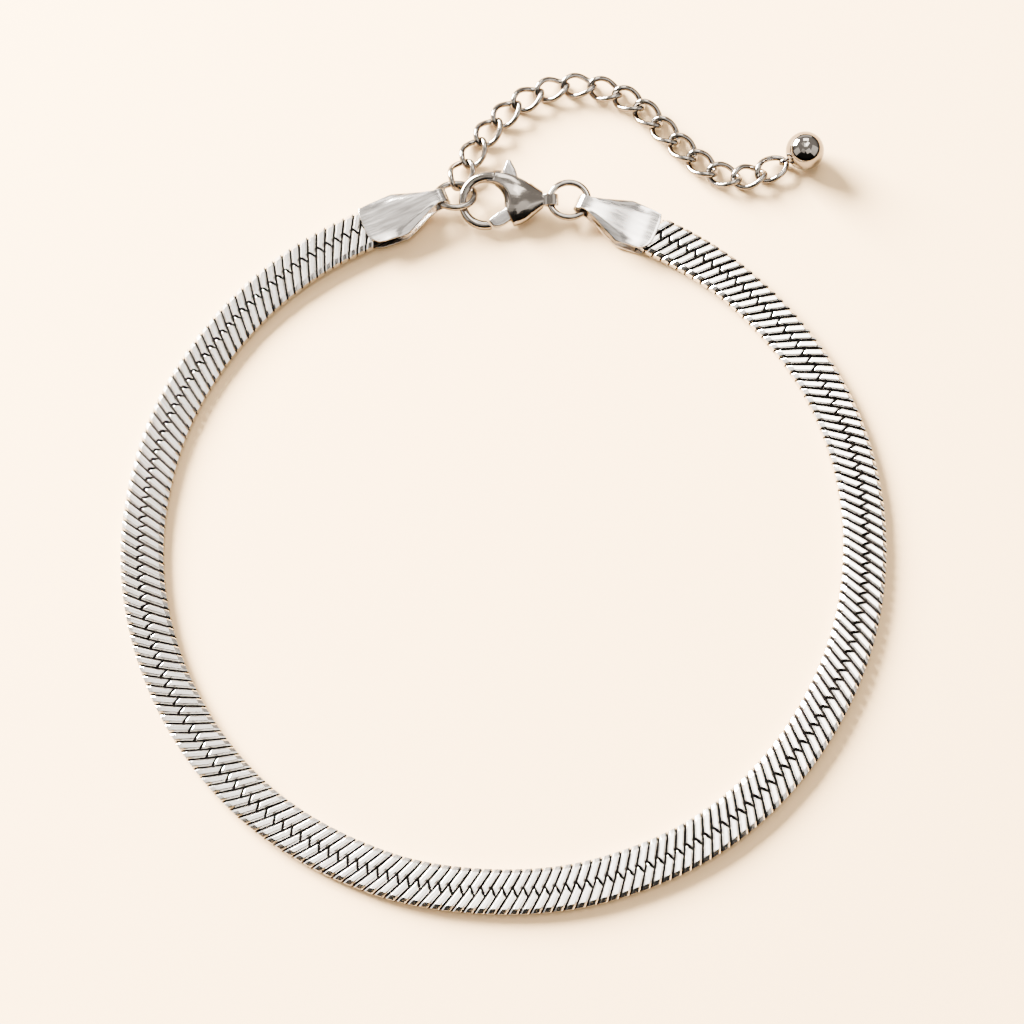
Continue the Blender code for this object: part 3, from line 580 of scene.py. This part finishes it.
def fine_rows(rows, splits):
    """Rows with straight lines between the corners of the outline."""
    fine = []
    for first, second in zip(rows, rows[1:]):
        for step in range(splits):
            share = step / splits
            fine.append(tuple(a + (b - a) * share for a, b in zip(first, second)))
    fine.append(rows[-1])
    return fine


# %% The folded caps
def fold_cap(name, mouth, heading_degrees, near_side, reach):
    """A cap from its mouth round the fold and back, placed at the band's end."""
    half_sheet = CAP_SHEET / 2
    seat_top = CAP_SHEET + 2 * CAP_CLEARANCE + BAND_THICKNESS + half_sheet
    corner_end, reach_end = CAP_ROWS[1][0], CAP_ROWS[2][0]
    last_row = CAP_ROWS[-1][0]

    def leaf(cap_row, seat, fold, drop, seat_end):
        share, width, flange = cap_row
        rise = min(1.0, max(0.0, (share - seat_end) / (last_row - seat_end)))
        height = seat + (fold - seat) * rise * rise * (3.0 - 2.0 * rise)
        points = []
        for across, sag in CAP_ACROSS:
            corner = CAP_NEAR_CORNER if across * near_side > 0 else CAP_FAR_CORNER
            bevel = corner * across ** CAP_CORNER_POWER * max(0.0, 1.0 - share / corner_end)
            along = share * CAP_LENGTH + bevel - reach * max(0.0, 1.0 - share / reach_end)
            points.append((along, across * width * CAP_WIDTH / 2, height + drop * flange * sag))
        return points

    rows = fine_rows(CAP_ROWS, CAP_ROW_SPLITS)
    low_fold = CAP_TUNNEL_HEIGHT - CAP_FOLD_RADIUS
    high_fold = CAP_TUNNEL_HEIGHT + CAP_FOLD_RADIUS
    sheet = [leaf(cap_row, half_sheet, low_fold, CAP_BOTTOM_RISE, CAP_ROWS[3][0]) for cap_row in rows]
    fold_half = CAP_ROWS[-1][1] * CAP_WIDTH / 2
    for degrees in FOLD_ANGLES:
        along = cap_reach + CAP_FOLD_RADIUS * math.cos(math.radians(degrees))
        height = CAP_TUNNEL_HEIGHT + CAP_FOLD_RADIUS * math.sin(math.radians(degrees))
        sheet.append([(along, across * fold_half, height) for across, _ in CAP_ACROSS])
    sheet += [leaf(cap_row, seat_top, high_fold, -CAP_TOP_DROP, CAP_TOP_RISE) for cap_row in reversed(rows)]

    placing = Matrix.Translation((*mouth, 0.0)) @ Matrix.Rotation(math.radians(heading_degrees), 4, "Z")
    bm = bmesh.new()
    uv_layer = bm.loops.layers.uv.new("UVMap")
    lines = [[bm.verts.new(placing @ Vector(point)) for point in line] for line in sheet]
    for i, (first, second) in enumerate(zip(lines, lines[1:])):
        for j in range(len(CAP_ACROSS) - 1):
            face = bm.faces.new((first[j], first[j + 1], second[j + 1], second[j]))
            spots = ((i, j), (i, j + 1), (i + 1, j + 1), (i + 1, j))
            for loop, (a, b) in zip(face.loops, spots):
                loop[uv_layer].uv = (sheet[a][b][0] / SHEET_UV_SIZE, sheet[a][b][1] / SHEET_UV_SIZE)
    mesh = mesh_from(bm, name, 60.0)
    mesh.materials.append(sheet_steel)
    cap = set_down(name, mesh)
    thickness = cap.modifiers.new("sheet", "SOLIDIFY")
    thickness.thickness = CAP_SHEET
    thickness.offset = 0.0
    thickness.use_even_offset = True
    worn = cap.modifiers.new("worn edges", "BEVEL")
    worn.width = CAP_WORN_EDGE
    worn.segments = 2
    worn.limit_method = "ANGLE"
    worn.angle_limit = math.radians(50.0)
    return cap


for side, mouth, heading_degrees, near_side, reach in (
    ("left", left_mouth, left_heading, -1, LEFT_CAP_REACH), ("right", right_mouth, right_heading, 1, 0.0),
):
    cap = fold_cap("cap_" + side, mouth, heading_degrees, near_side, reach)
    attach(cap, "anklet")
    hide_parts("end_cap_" + side)
    print(cap.name, "grid faces:", len(cap.data.polygons))

# %% [markdown]
# Round wire makes the jump rings and the links. Both come from one tree: a circle of points,
# stretched to an oval and twisted along its length, with a round wire run along it and a copy
# set at every given point. A jump ring is simply a link that is as wide as it is long and has
# no twist. The curb links of the extender take their twist from being pressed flat.

# %% The tree that bends wire into links
WIRE_SIDES = 16
link_tree, link_in, link_out = start_tree("bend_links", (
    ("Half length", "Float"), ("Half width", "Float"), ("Wire radius", "Float"),
    ("Start twist", "Float"), ("End twist", "Float"), ("Points", "Int"), ("Finish", "Material"),
))
given = link_in.outputs
circle = add_node(link_tree, "GeometryNodeCurvePrimitiveCircle", {
    "Resolution": given["Points"], "Radius": 1.0,
})
spot = add_node(link_tree, "GeometryNodeInputPosition")
spot_parts = add_node(link_tree, "ShaderNodeSeparateXYZ", {"Vector": spot})
along_unit, wide_unit = spot_parts.outputs["X"], spot_parts.outputs["Y"]
start_share = reckon(link_tree, "MAXIMUM", reckon(link_tree, "MULTIPLY", along_unit, -1.0), 0.0)
end_share = reckon(link_tree, "MAXIMUM", along_unit, 0.0)
start_turn = reckon(link_tree, "MULTIPLY", start_share, given["Start twist"])
whole_turn = reckon(link_tree, "MULTIPLY_ADD", end_share, given["End twist"], start_turn)
wide = reckon(link_tree, "MULTIPLY", wide_unit, given["Half width"])
oval_spot = add_node(link_tree, "ShaderNodeCombineXYZ", {
    "X": reckon(link_tree, "MULTIPLY", along_unit, given["Half length"]),
    "Y": reckon(link_tree, "MULTIPLY", wide, reckon(link_tree, "COSINE", whole_turn)),
    "Z": reckon(link_tree, "MULTIPLY", wide, reckon(link_tree, "SINE", whole_turn)),
})
oval = add_node(link_tree, "GeometryNodeSetPosition", {"Geometry": circle, "Position": oval_spot})
wire = add_node(link_tree, "GeometryNodeCurvePrimitiveCircle", {
    "Resolution": WIRE_SIDES, "Radius": given["Wire radius"],
})
drawn = add_node(link_tree, "GeometryNodeCurveToMesh", {"Curve": oval, "Profile Curve": wire})
turn = add_node(link_tree, "GeometryNodeInputNamedAttribute", {"Name": "turn"}, data_type="FLOAT_VECTOR")
turn_rotation = add_node(link_tree, "FunctionNodeEulerToRotation", {0: turn.outputs["Attribute"]})
set_links = add_node(link_tree, "GeometryNodeInstanceOnPoints", {
    "Points": given["Geometry"], "Instance": drawn, "Rotation": turn_rotation,
})
real_links = add_node(link_tree, "GeometryNodeRealizeInstances", {"Geometry": set_links})
smooth_links = add_node(link_tree, "GeometryNodeSetShadeSmooth", {"Geometry": real_links})
finished_links = add_node(link_tree, "GeometryNodeSetMaterial", {
    "Geometry": smooth_links, "Material": given["Finish"],
})
link_tree.links.new(finished_links.outputs[0], link_out.inputs[0])


# %% [markdown]
# Polished wire looks thicker than it measures, because both its edges stay bright. So the wire
# is drawn a little thicker here than in the solids, and the links a little narrower, which
# keeps their outside where it was.

# %% Bend a set of links
WIRE_SWELL = 0.15 * MM
LINK_TRIM = 0.135 * MM
LINK_POINTS = 64
RING_POINTS = 96
EYE_POINTS = 40
NO_TWIST = (0.0, 0.0)


def bend_links(name, places, half_length, half_width, wire_width, twists, points):
    """A mesh of links at the given places, each a position and a turn in radians."""
    mesh = bpy.data.meshes.new(name + "_places")
    mesh.from_pydata([position for position, _ in places], [], [])
    attribute = mesh.attributes.new("turn", "FLOAT_VECTOR", "POINT")
    for entry, (_, angles) in zip(attribute.data, places):
        entry.vector = angles
    return apply_tree(set_down(name + "_places", mesh), link_tree, {
        "Half length": half_length, "Half width": half_width - LINK_TRIM,
        "Wire radius": (wire_width + WIRE_SWELL) / 2,
        "Start twist": math.radians(twists[0]), "End twist": math.radians(twists[1]),
        "Points": points, "Finish": bright_steel,
    }, name)


# %% Jump rings
LEFT_RING_TILT = 24.0
LEFT_RING_HEIGHT = 1.66 * MM
RIGHT_RING_TILT = -8.0
CLASP_HEIGHT = 1.66 * MM
for side, middle, height, tilt in (
    ("left", left_ring, LEFT_RING_HEIGHT, LEFT_RING_TILT),
    ("right", right_ring, CLASP_HEIGHT, RIGHT_RING_TILT),
):
    places = [((*middle, height), (-math.radians(tilt), 0.0, 0.0))]
    ring = bend_links("ring_" + side, places, RING_RADIUS, RING_RADIUS, RING_WIRE, NO_TWIST, RING_POINTS)
    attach(ring, "anklet")
    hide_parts("jump_ring_" + side)
    print(ring.name, "faces:", len(ring.data.polygons))

# %% [markdown]
# The extender is sixteen curb links in a row. Where they meet is found by walking along a
# smooth curve in equal steps, as a chain does when it is dropped on a table: first pulled
# out, then slack towards the ball. The first link climbs over the jump ring and the last one
# lies flat, so these two take a twist of their own.

# %% Sizes of the extender
LINK_STEP = 2.94 * MM
LOOSE_STEP = 2.74 * MM
LOOSE_FROM = 9
LAST_STEP = 2.55 * MM
LINK_WIRE = 0.46 * MM
LINK_WIDTH = 3.1 * MM
LINK_GAP = 0.085 * MM
LINK_TWIST = 45.0
RING_TWIST = 50.0
EYE_TWIST = 15.0
LINK_COUNT = 16
LINK_HEIGHT = 0.74 * MM
FIRST_LINK_RISE = 0.12 * MM
FIRST_LINK_ROLL = 12.0
FIRST_LINK_SLACK = 0.08 * MM
FIRST_LINK_SIDE = 0.06
FIRST_LINK_HEADING = 61.0
# Rounds of halving that find a meeting point on the curve
HALVINGS = 20
# Places on its way from the left ring's middle, millimetres
EXTENDER_ROUTE = (
    (-0.25, 1.0), (0.58, 2.96), (3.28, 7.79), (7.74, 12.06),
    (13.43, 13.57), (18.86, 11.7), (22.86, 7.55), (26.73, 3.63),
    (29.36, 2.48), (32.06, 2.51), (34.09, 3.85), (38.0, 5.1),
)


def curve_through(points, steps=12):
    """Points along a smooth curve through a few chosen points."""
    ends = [2 * points[0] - points[1], *points, 2 * points[-1] - points[-2]]
    line = []
    for a, b, c, d in zip(ends, ends[1:], ends[2:], ends[3:]):
        for step in range(steps):
            t = step / steps
            line.append(0.5 * (2 * b + (c - a) * t + (2 * a - 5 * b + 4 * c - d) * t * t
                               + (3 * b - a - 3 * c + d) * t ** 3))
    line.append(points[-1])
    return line


# %% Walk along the extender
extender_way = curve_through([left_ring + Vector((x * MM, y * MM)) for x, y in EXTENDER_ROUTE])
rear = math.cos(math.radians(LEFT_RING_TILT)) * math.sqrt(1.0 - FIRST_LINK_SIDE ** 2)
crossing = left_ring + RING_RADIUS * Vector((FIRST_LINK_SIDE, rear))
inside = (LINK_STEP - RING_WIRE - LINK_GAP) / 2 - FIRST_LINK_SLACK
meeting_points = [crossing - turned(LINK_STEP / 2 - inside, FIRST_LINK_HEADING)]
way_mark = 0
for number in range(1, LINK_COUNT + 1):
    here = meeting_points[-1]
    step_length = LINK_STEP if number < LOOSE_FROM else LOOSE_STEP
    step_length = LAST_STEP if number == LINK_COUNT else step_length
    while way_mark < len(extender_way) - 1 and (extender_way[way_mark] - here).length < step_length:
        way_mark += 1
    near, far = extender_way[way_mark - 1], extender_way[way_mark]
    for halving in range(HALVINGS):
        middle = (near + far) / 2
        if (middle - here).length < step_length:
            near = middle
        else:
            far = middle
    meeting_points.append(far)

link_places = []
for number, (here, there) in enumerate(zip(meeting_points, meeting_points[1:]), 1):
    middle = (here + there) / 2
    rise, roll = (FIRST_LINK_RISE, FIRST_LINK_ROLL) if number == 1 else (0.0, 0.0)
    heading_angle = math.atan2(there.y - here.y, there.x - here.x)
    angles = (math.radians(roll), math.atan2(rise, LINK_STEP / 2), heading_angle)
    link_places.append(((middle.x, middle.y, LINK_HEIGHT + WIRE_SWELL / 2 + rise), angles))
print("extender, mm from ring to last link:", round((meeting_points[-1] - left_ring).length / MM, 1))

# %% The links
link_half_length = (LINK_STEP + LINK_WIRE + LINK_GAP) / 2
link_half_width = (LINK_WIDTH - LINK_WIRE) / 2
link_names = [f"extender_link_{number:02d}" for number in range(1, LINK_COUNT + 1)]
for name, wanted, twists in (
    ("first_link", slice(0, 1), (RING_TWIST, -LINK_TWIST)),
    ("curb_links", slice(1, LINK_COUNT - 1), (LINK_TWIST, -LINK_TWIST)),
    ("last_link", slice(LINK_COUNT - 1, LINK_COUNT), (LINK_TWIST, -EYE_TWIST)),
):
    places = link_places[wanted]
    links = bend_links(name, places, link_half_length, link_half_width, LINK_WIRE, twists, LINK_POINTS)
    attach(links, "anklet")
    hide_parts(*link_names[wanted])
    print(links.name, "faces:", len(links.data.polygons))

# %% [markdown]
# The end ball is turned and polished until it mirrors the whole room, and a small wire eye is
# soldered to it. A fine sphere with smooth normals is all a mirror needs.

# %% The end ball
BALL_RADIUS = 2.05 * MM
BALL_EYE_RADIUS = 0.5 * MM
BALL_EYE_WIRE = 0.32 * MM
BALL_EYE_STAND = 0.8
BALL_TURN = -12.0
BALL_SEGMENTS = 96
BALL_RINGS = 64
last_heading = (meeting_points[-1] - meeting_points[-2]).normalized()
away_heading = Matrix.Rotation(math.radians(BALL_TURN), 2) @ last_heading
eye_near = link_half_length - LINK_WIRE / 2 - BALL_EYE_WIRE / 2 - LINK_GAP
eye_middle = (meeting_points[-2] + meeting_points[-1]) / 2 + last_heading * (eye_near + BALL_EYE_RADIUS)
ball_rise = BALL_RADIUS - LINK_HEIGHT
ball_away = math.sqrt((BALL_RADIUS + BALL_EYE_RADIUS * BALL_EYE_STAND) ** 2 - ball_rise ** 2)
ball_middle = eye_middle + away_heading * ball_away
eye_turn = (math.pi / 2, 0.0, math.atan2(away_heading.y, away_heading.x))
places = [((*eye_middle, LINK_HEIGHT), eye_turn)]
eye_radii = (BALL_EYE_RADIUS, BALL_EYE_RADIUS)
eye_ring = bend_links("ball_eye", places, *eye_radii, BALL_EYE_WIRE, NO_TWIST, EYE_POINTS)
ball_bm = bmesh.new()
bmesh.ops.create_uvsphere(ball_bm, u_segments=BALL_SEGMENTS, v_segments=BALL_RINGS, radius=BALL_RADIUS,
                          matrix=Matrix.Translation((*ball_middle, BALL_RADIUS)))
ball_mesh = mesh_from(ball_bm, "ball", 80.0)
ball_mesh.materials.append(mirror_steel)
ball = set_down("ball", ball_mesh)
for piece in (ball, eye_ring):
    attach(piece, "anklet")
    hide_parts("end_ball")
print("ball middle, mm:", [round(value / MM, 2) for value in ball_middle])

# %% [markdown]
# A lobster clasp is cast, so its hook flows into its body and every edge is a little round.
# It could be sculpted, but it is quicker to join and cut simple solids and let a voxel remesh
# melt them together, as casting does. A few rounds of smoothing then polish the skin.

# %% Sizes of the clasp
CLASP_ROLL = 16.0
HOOK_WIRE = 1.0 * MM
# Hook from its tip round to the body: angle, half width and half height in shares of HOOK_WIRE
HOOK_ROWS = (
    (282, 0.52, 0.60), (255, 0.53, 0.56), (235, 0.51, 0.52), (215, 0.48, 0.45), (195, 0.45, 0.40),
    (175, 0.44, 0.38), (155, 0.46, 0.38), (135, 0.50, 0.40), (118, 0.54, 0.48), (100, 0.59, 0.60),
    (84, 0.66, 0.76), (70, 0.74, 0.88),
)
BODY_LENGTH = 5.9 * MM
BODY_WIDTH = 6.4 * MM
BODY_HEIGHT = 2.5 * MM
# Body from the hook to the neck: shares of its length, of its width for both edges, of its height
BODY_ROWS = (
    (0.0, 0.515, -0.43, 0.70), (0.2, 0.525, -0.44, 0.88), (0.4, 0.495, -0.43, 0.98), (0.55, 0.43, -0.40, 1.0),
    (0.7, 0.36, -0.34, 0.90), (0.85, 0.25, -0.235, 0.74), (1.0, 0.15, -0.13, 0.58),
)
GATE_LINE = ((1.72 * MM, -0.3 * MM), (2.95 * MM, -3.4 * MM))
EYE_RADIUS = 0.95 * MM
EYE_HOLE = 0.52 * MM
EYE_LENGTH = 1.2 * MM
PIVOT = (3.2 * MM, -0.8 * MM)
PIVOT_RADIUS = 0.3 * MM
PIVOT_CLEARANCE = 0.06 * MM
LEVER_THICKNESS = 0.8 * MM
LEVER_CLEARANCE = 0.08 * MM
LEVER_OPENING = 22.0
HOOK_TIP_LEAN = 40.0
HOOK_TIP_SHARE = 0.1
PIN_SHARE = 0.8
BODY_SIDES = 48
LIP_SIDES = 96
HOOK_SIDES = 28
DRUM_SIDES = 48
ROW_SPLITS = 4
# How finely each piece is melted together, and how many rounds of polish it gets
CLASP_GRAIN, CLASP_POLISH = 0.042 * MM, 14
LEVER_GRAIN, LEVER_POLISH = 0.15 * MM, 3
# Opening through the body: height and radius, wider at both ends for a rounded lip
LIP_PROFILE = (
    (-3.0 * MM, 3.6 * MM), (-1.3 * MM, 2.65 * MM), (-0.5 * MM, HOOK_OPENING),
    (0.5 * MM, HOOK_OPENING), (1.3 * MM, 2.65 * MM), (3.0 * MM, 3.6 * MM),
)
# Lever outline round from the gate's tip: places in the clasp's frame, millimetres
LEVER_OUTLINE = (
    (-0.02, -1.98), (0.45, -1.62), (1.0, -1.22), (1.6, -0.92), (2.15, -0.5), (2.3, 0.3), (2.05, 1.9),
    (1.65, 3.2), (2.05, 4.2), (2.3, 4.5), (2.55, 4.35), (3.1, 3.3), (3.4, 2.0), (3.75, 0.4), (4.05, -0.4),
    (4.0, -1.1), (3.6, -1.55), (3.1, -1.66), (2.5, -2.0), (1.8, -2.5), (1.2, -2.72), (0.62, -2.76),
)
clasp_placing = (
    Matrix.Translation((*hook, CLASP_HEIGHT)) @ Matrix.Rotation(clasp_heading, 4, "Z")
    @ Matrix.Rotation(math.radians(CLASP_ROLL), 4, "X")
)


# %% Solids to join and cut
def round_angles(sides):
    """Angles of evenly spaced points round a section."""
    return [math.tau * i / sides for i in range(sides)]


def smooth_rows(rows):
    """Rows between the given ones, on a smooth curve through them."""
    vectors = [Vector(row_values) for row_values in rows]
    return [tuple(point) for point in curve_through(vectors, ROW_SPLITS)]


def prism(name, outline, low, high):
    """A flat plate with a plan outline."""
    bm = bmesh.new()
    face = bm.faces.new([bm.verts.new((x, y, low)) for x, y in outline])
    top = bmesh.ops.extrude_face_region(bm, geom=[face])
    moved = [v for v in top["geom"] if isinstance(v, bmesh.types.BMVert)]
    bmesh.ops.translate(bm, verts=moved, vec=(0.0, 0.0, high - low))
    return mesh_from(bm, name)


def drum(name, radius, length, placing):
    """A round bar along its own Z, placed by a matrix."""
    bm = bmesh.new()
    bmesh.ops.create_cone(bm, cap_ends=True, segments=DRUM_SIDES, radius1=radius, radius2=radius,
                          depth=length, matrix=placing)
    return mesh_from(bm, name)


def work(target, mesh, operation):
    """Join a solid to a piece, or cut it away, and apply it at once."""
    tool = set_down(mesh.name, mesh)
    modifier = target.modifiers.new(mesh.name, "BOOLEAN")
    modifier.operation = operation
    modifier.object = tool
    modifier.solver = "EXACT"
    bake_modifiers(target)
    bpy.data.objects.remove(tool, do_unlink=True)


def bake_modifiers(item):
    """Turn an object's modifiers into its plain mesh."""
    mesh = baked_mesh(item)
    item.modifiers.clear()
    item.data = mesh


def cast(item, grain, rounds, finish):
    """Melt a piece's solids together, polish the skin and set the piece in its place."""
    melt = item.modifiers.new("melt", "REMESH")
    melt.mode = "VOXEL"
    melt.voxel_size = grain
    melt.use_smooth_shade = True
    polish = item.modifiers.new("polish", "SMOOTH")
    polish.factor = 0.5
    polish.iterations = rounds
    bake_modifiers(item)
    item.data.transform(clasp_placing)
    item.data.materials.clear()
    item.data.materials.append(finish)
    print(item.name, "faces:", len(item.data.polygons))


def lever_points(degrees, margin=0.0):
    """The lever's outline in the clasp's frame, swung open and grown by a margin."""
    pivot = Vector(PIVOT)
    swing = Matrix.Rotation(-math.radians(degrees), 2)
    points = [Vector((x * MM, y * MM)) for x, y in LEVER_OUTLINE]
    middle = sum(points, Vector((0.0, 0.0))) / len(points)
    grown = [point + (point - middle).normalized() * margin for point in points]
    return [pivot + swing @ (point - pivot) for point in grown]


# %% Cast the clasp
body_rings = []
for along, top, bottom, tall in smooth_rows(BODY_ROWS):
    middle = (top + bottom) / 2 * BODY_WIDTH
    half = (top - bottom) / 2 * BODY_WIDTH
    body_rings.append([
        (along * BODY_LENGTH, middle + half * math.cos(angle), tall * BODY_HEIGHT / 2 * math.sin(angle))
        for angle in round_angles(BODY_SIDES)
    ])
clasp = set_down("clasp", skin("clasp", body_rings))
tall_cut = 2 * BODY_HEIGHT
flare = []
for height, radius in LIP_PROFILE:
    flare.append([(radius * math.cos(angle) - HOOK_OFFSET, radius * math.sin(angle), height)
                  for angle in round_angles(LIP_SIDES)])
work(clasp, skin("opening", flare), "DIFFERENCE")
(upper_x, upper_y), (lower_x, lower_y) = GATE_LINE
far_left = -2 * HOOK_OPENING
gate_room = ((far_left, upper_y), (far_left, lower_y), (lower_x, lower_y), (upper_x, upper_y))
work(clasp, prism("gate_room", gate_room, -tall_cut, tall_cut), "DIFFERENCE")
hook_rings = []
for degrees, wide_share, tall_share in smooth_rows(HOOK_ROWS):
    angle = math.radians(degrees)
    ring = []
    for turn_angle in round_angles(HOOK_SIDES):
        out = HOOK_OPENING + wide_share * HOOK_WIRE * (1.0 + math.cos(turn_angle))
        ring.append((out * math.cos(angle) - HOOK_OFFSET, out * math.sin(angle),
                     tall_share * HOOK_WIRE * math.sin(turn_angle)))
    hook_rings.append(ring)
work(clasp, skin("hook_bar", hook_rings), "UNION")
tip_place = (
    Matrix.Translation((HOOK_OPENING * HOOK_TIP_SHARE, -HOOK_OPENING - HOOK_ROWS[0][1] * HOOK_WIRE, 0.0))
    @ Matrix.Rotation(math.radians(HOOK_TIP_LEAN), 4, "Z")
)
tip_square = ((0.0, -HOOK_WIRE), (HOOK_WIRE, -HOOK_WIRE), (HOOK_WIRE, HOOK_WIRE), (0.0, HOOK_WIRE))
tip_cut = prism("tip_cut", tip_square, -tall_cut, tall_cut)
tip_cut.transform(tip_place)
work(clasp, tip_cut, "DIFFERENCE")
slot_half = LEVER_THICKNESS / 2 + LEVER_CLEARANCE
swept = []
for turn_share in (0.0, 0.5, 1.0):
    swept += lever_points(LEVER_OPENING * turn_share, LEVER_CLEARANCE)
slot_outline = [swept[i] for i in convex_hull_2d(swept)]
work(clasp, prism("slot", slot_outline, -slot_half, slot_half), "DIFFERENCE")
work(clasp, drum("pin", PIVOT_RADIUS, BODY_HEIGHT * PIN_SHARE, Matrix.Translation((*PIVOT, 0.0))), "UNION")
eye_place = Matrix.Translation((CLASP_LENGTH, 0.0, 0.0)) @ Matrix.Rotation(math.pi / 2, 4, "X")
work(clasp, drum("tail_eye", EYE_RADIUS, EYE_LENGTH, eye_place), "UNION")
work(clasp, drum("eye_hole", EYE_HOLE, 2 * EYE_LENGTH, eye_place), "DIFFERENCE")
cast(clasp, CLASP_GRAIN, CLASP_POLISH, bright_steel)
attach(clasp, "anklet")
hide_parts("clasp_body")

# %% [markdown]
# The lever is the only piece that moves. It turns on a pin through the clasp's body, so it
# rides on a body of its own. The plate is cut from its outline, bored for the pin and cast
# like the rest.

# %% Cast the lever
lever_half = LEVER_THICKNESS / 2
lever = set_down("lever", prism("lever", lever_points(0.0), -lever_half, lever_half))
work(lever, drum("lever_bore", PIVOT_RADIUS + PIVOT_CLEARANCE, 4 * LEVER_THICKNESS,
                 Matrix.Translation((*PIVOT, 0.0))), "DIFFERENCE")
cast(lever, LEVER_GRAIN, LEVER_POLISH, satin_steel)
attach(lever, "lever")
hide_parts("clasp_lever")

# %% [markdown]
# The anklet lies on warm white paper. A low key light from the upper left throws its shadows.
# A mirror shows the room, so the room matters too: light panels overhead for the bright tops,
# and dark sides for the black lines in the polished steel.

# %% Paper, room and lights
PAPER_HALF = 1.5
PAPER_GAP = 0.01 * MM
PAPER_TONE = (0.53, 0.36, 0.19, 1.0)
ROOM_TONE = (1.0, 0.95, 0.90, 1.0)
WARM_WHITE = (1.0, 0.96, 0.91)
paper = bpy.data.materials.new("paper")
paper.use_nodes = True
paper_shader = paper.node_tree.nodes["Principled BSDF"]
paper_shader.inputs["Base Color"].default_value = PAPER_TONE
paper_shader.inputs["Roughness"].default_value = 0.9
paper_shader.inputs["Specular IOR Level"].default_value = 0.1
floor_bm = bmesh.new()
bmesh.ops.create_grid(floor_bm, x_segments=1, y_segments=1, size=PAPER_HALF)
floor_mesh = mesh_from(floor_bm, "paper_floor")
floor_mesh.materials.append(paper)
floor = set_down("paper_floor", floor_mesh)
floor_mesh.transform(Matrix.Translation((0.0, 0.0, plain_box[0][2] - PAPER_GAP)))

world = bpy.data.worlds.new("room")
scene.world = world
world.use_nodes = True
room_tree = world.node_tree
room_light = room_tree.nodes["Background"]
room_light.inputs["Color"].default_value = ROOM_TONE
toward = add_node(room_tree, "ShaderNodeTexCoord")
toward_parts = add_node(room_tree, "ShaderNodeSeparateXYZ", {"Vector": toward.outputs["Generated"]})
walls = stretch_range(room_tree, toward_parts.outputs["Z"], (0.05, 0.5), (0.04, 0.95), "SMOOTHSTEP")
front = stretch_range(room_tree, toward_parts.outputs["Y"], (-0.6, -0.2), (0.04, 1.0), "SMOOTHSTEP")
room_strength = reckon(room_tree, "MULTIPLY", walls, front)
room_tree.links.new(room_strength.outputs[0], room_light.inputs["Strength"])


def soft_light(name, azimuth, elevation, distance, size, glow):
    """A rectangular light aimed at the anklet from a direction in degrees."""
    flat = distance * math.cos(math.radians(elevation))
    height = distance * math.sin(math.radians(elevation))
    position = Vector((*turned(flat, azimuth), height))
    data = bpy.data.lights.new(name, "AREA")
    data.shape = "RECTANGLE"
    data.size, data.size_y = size
    data.energy = glow * math.pi * size[0] * size[1]
    data.color = WARM_WHITE
    light = set_down(name, data)
    light.location = position
    light.rotation_euler = (-position).to_track_quat("-Z", "Y").to_euler()


# Name, azimuth, elevation, distance, size, brightness of the panel
for panel in (
    ("key", 139, 22, 0.7, (0.40, 0.28), 700),
    ("window_back", 84, 43, 0.6, (0.26, 0.18), 17),
    ("window_right", 58, 69, 0.6, (0.14, 0.26), 17),
    ("window_left", 120, 69, 0.6, (0.20, 0.26), 1.2),
    ("window_top", 84, 78, 0.6, (0.17, 0.24), 7.4),
    ("panel_front_left", -121, 62, 0.7, (0.30, 0.26), 1.3),
    ("panel_front_right", -56, 60, 0.7, (0.36, 0.30), 2.8),
    ("panel_left", 198, 30, 0.7, (0.42, 0.5), 2.2),
    ("panel_right", -14, 34, 0.7, (0.6, 0.5), 2.4),
    ("panel_back", 90, 14, 0.8, (0.8, 0.2), 2.2),
):
    soft_light(*panel)

# %% [markdown]
# The camera stands above the front edge of the paper and looks down at 73 degrees, through a
# rather long lens, which keeps the loop nearly round.

# %% Camera
CAMERA_ELEVATION = math.radians(73.0)
CAMERA_DISTANCE = 230.0 * MM
CAMERA_AIM = Vector((0.83 * MM, 2.12 * MM, 1.2 * MM))
SENSOR_WIDTH = 36.0
# Focal length in widths of the picture
FOCAL_SHARE = 2250.0 / 1024.0
camera_data = bpy.data.cameras.new("camera")
camera_data.sensor_width = SENSOR_WIDTH
camera_data.lens = SENSOR_WIDTH * FOCAL_SHARE
camera_data.clip_start = 0.005
camera_data.clip_end = 10.0
camera = set_down("camera", camera_data)
camera.location = CAMERA_AIM + Vector((*loop_centre, 0.0)) + Vector(
    (0.0, -CAMERA_DISTANCE * math.cos(CAMERA_ELEVATION), CAMERA_DISTANCE * math.sin(CAMERA_ELEVATION))
)
camera.rotation_euler = (math.pi / 2 - CAMERA_ELEVATION, 0.0, 0.0)
scene.camera = camera
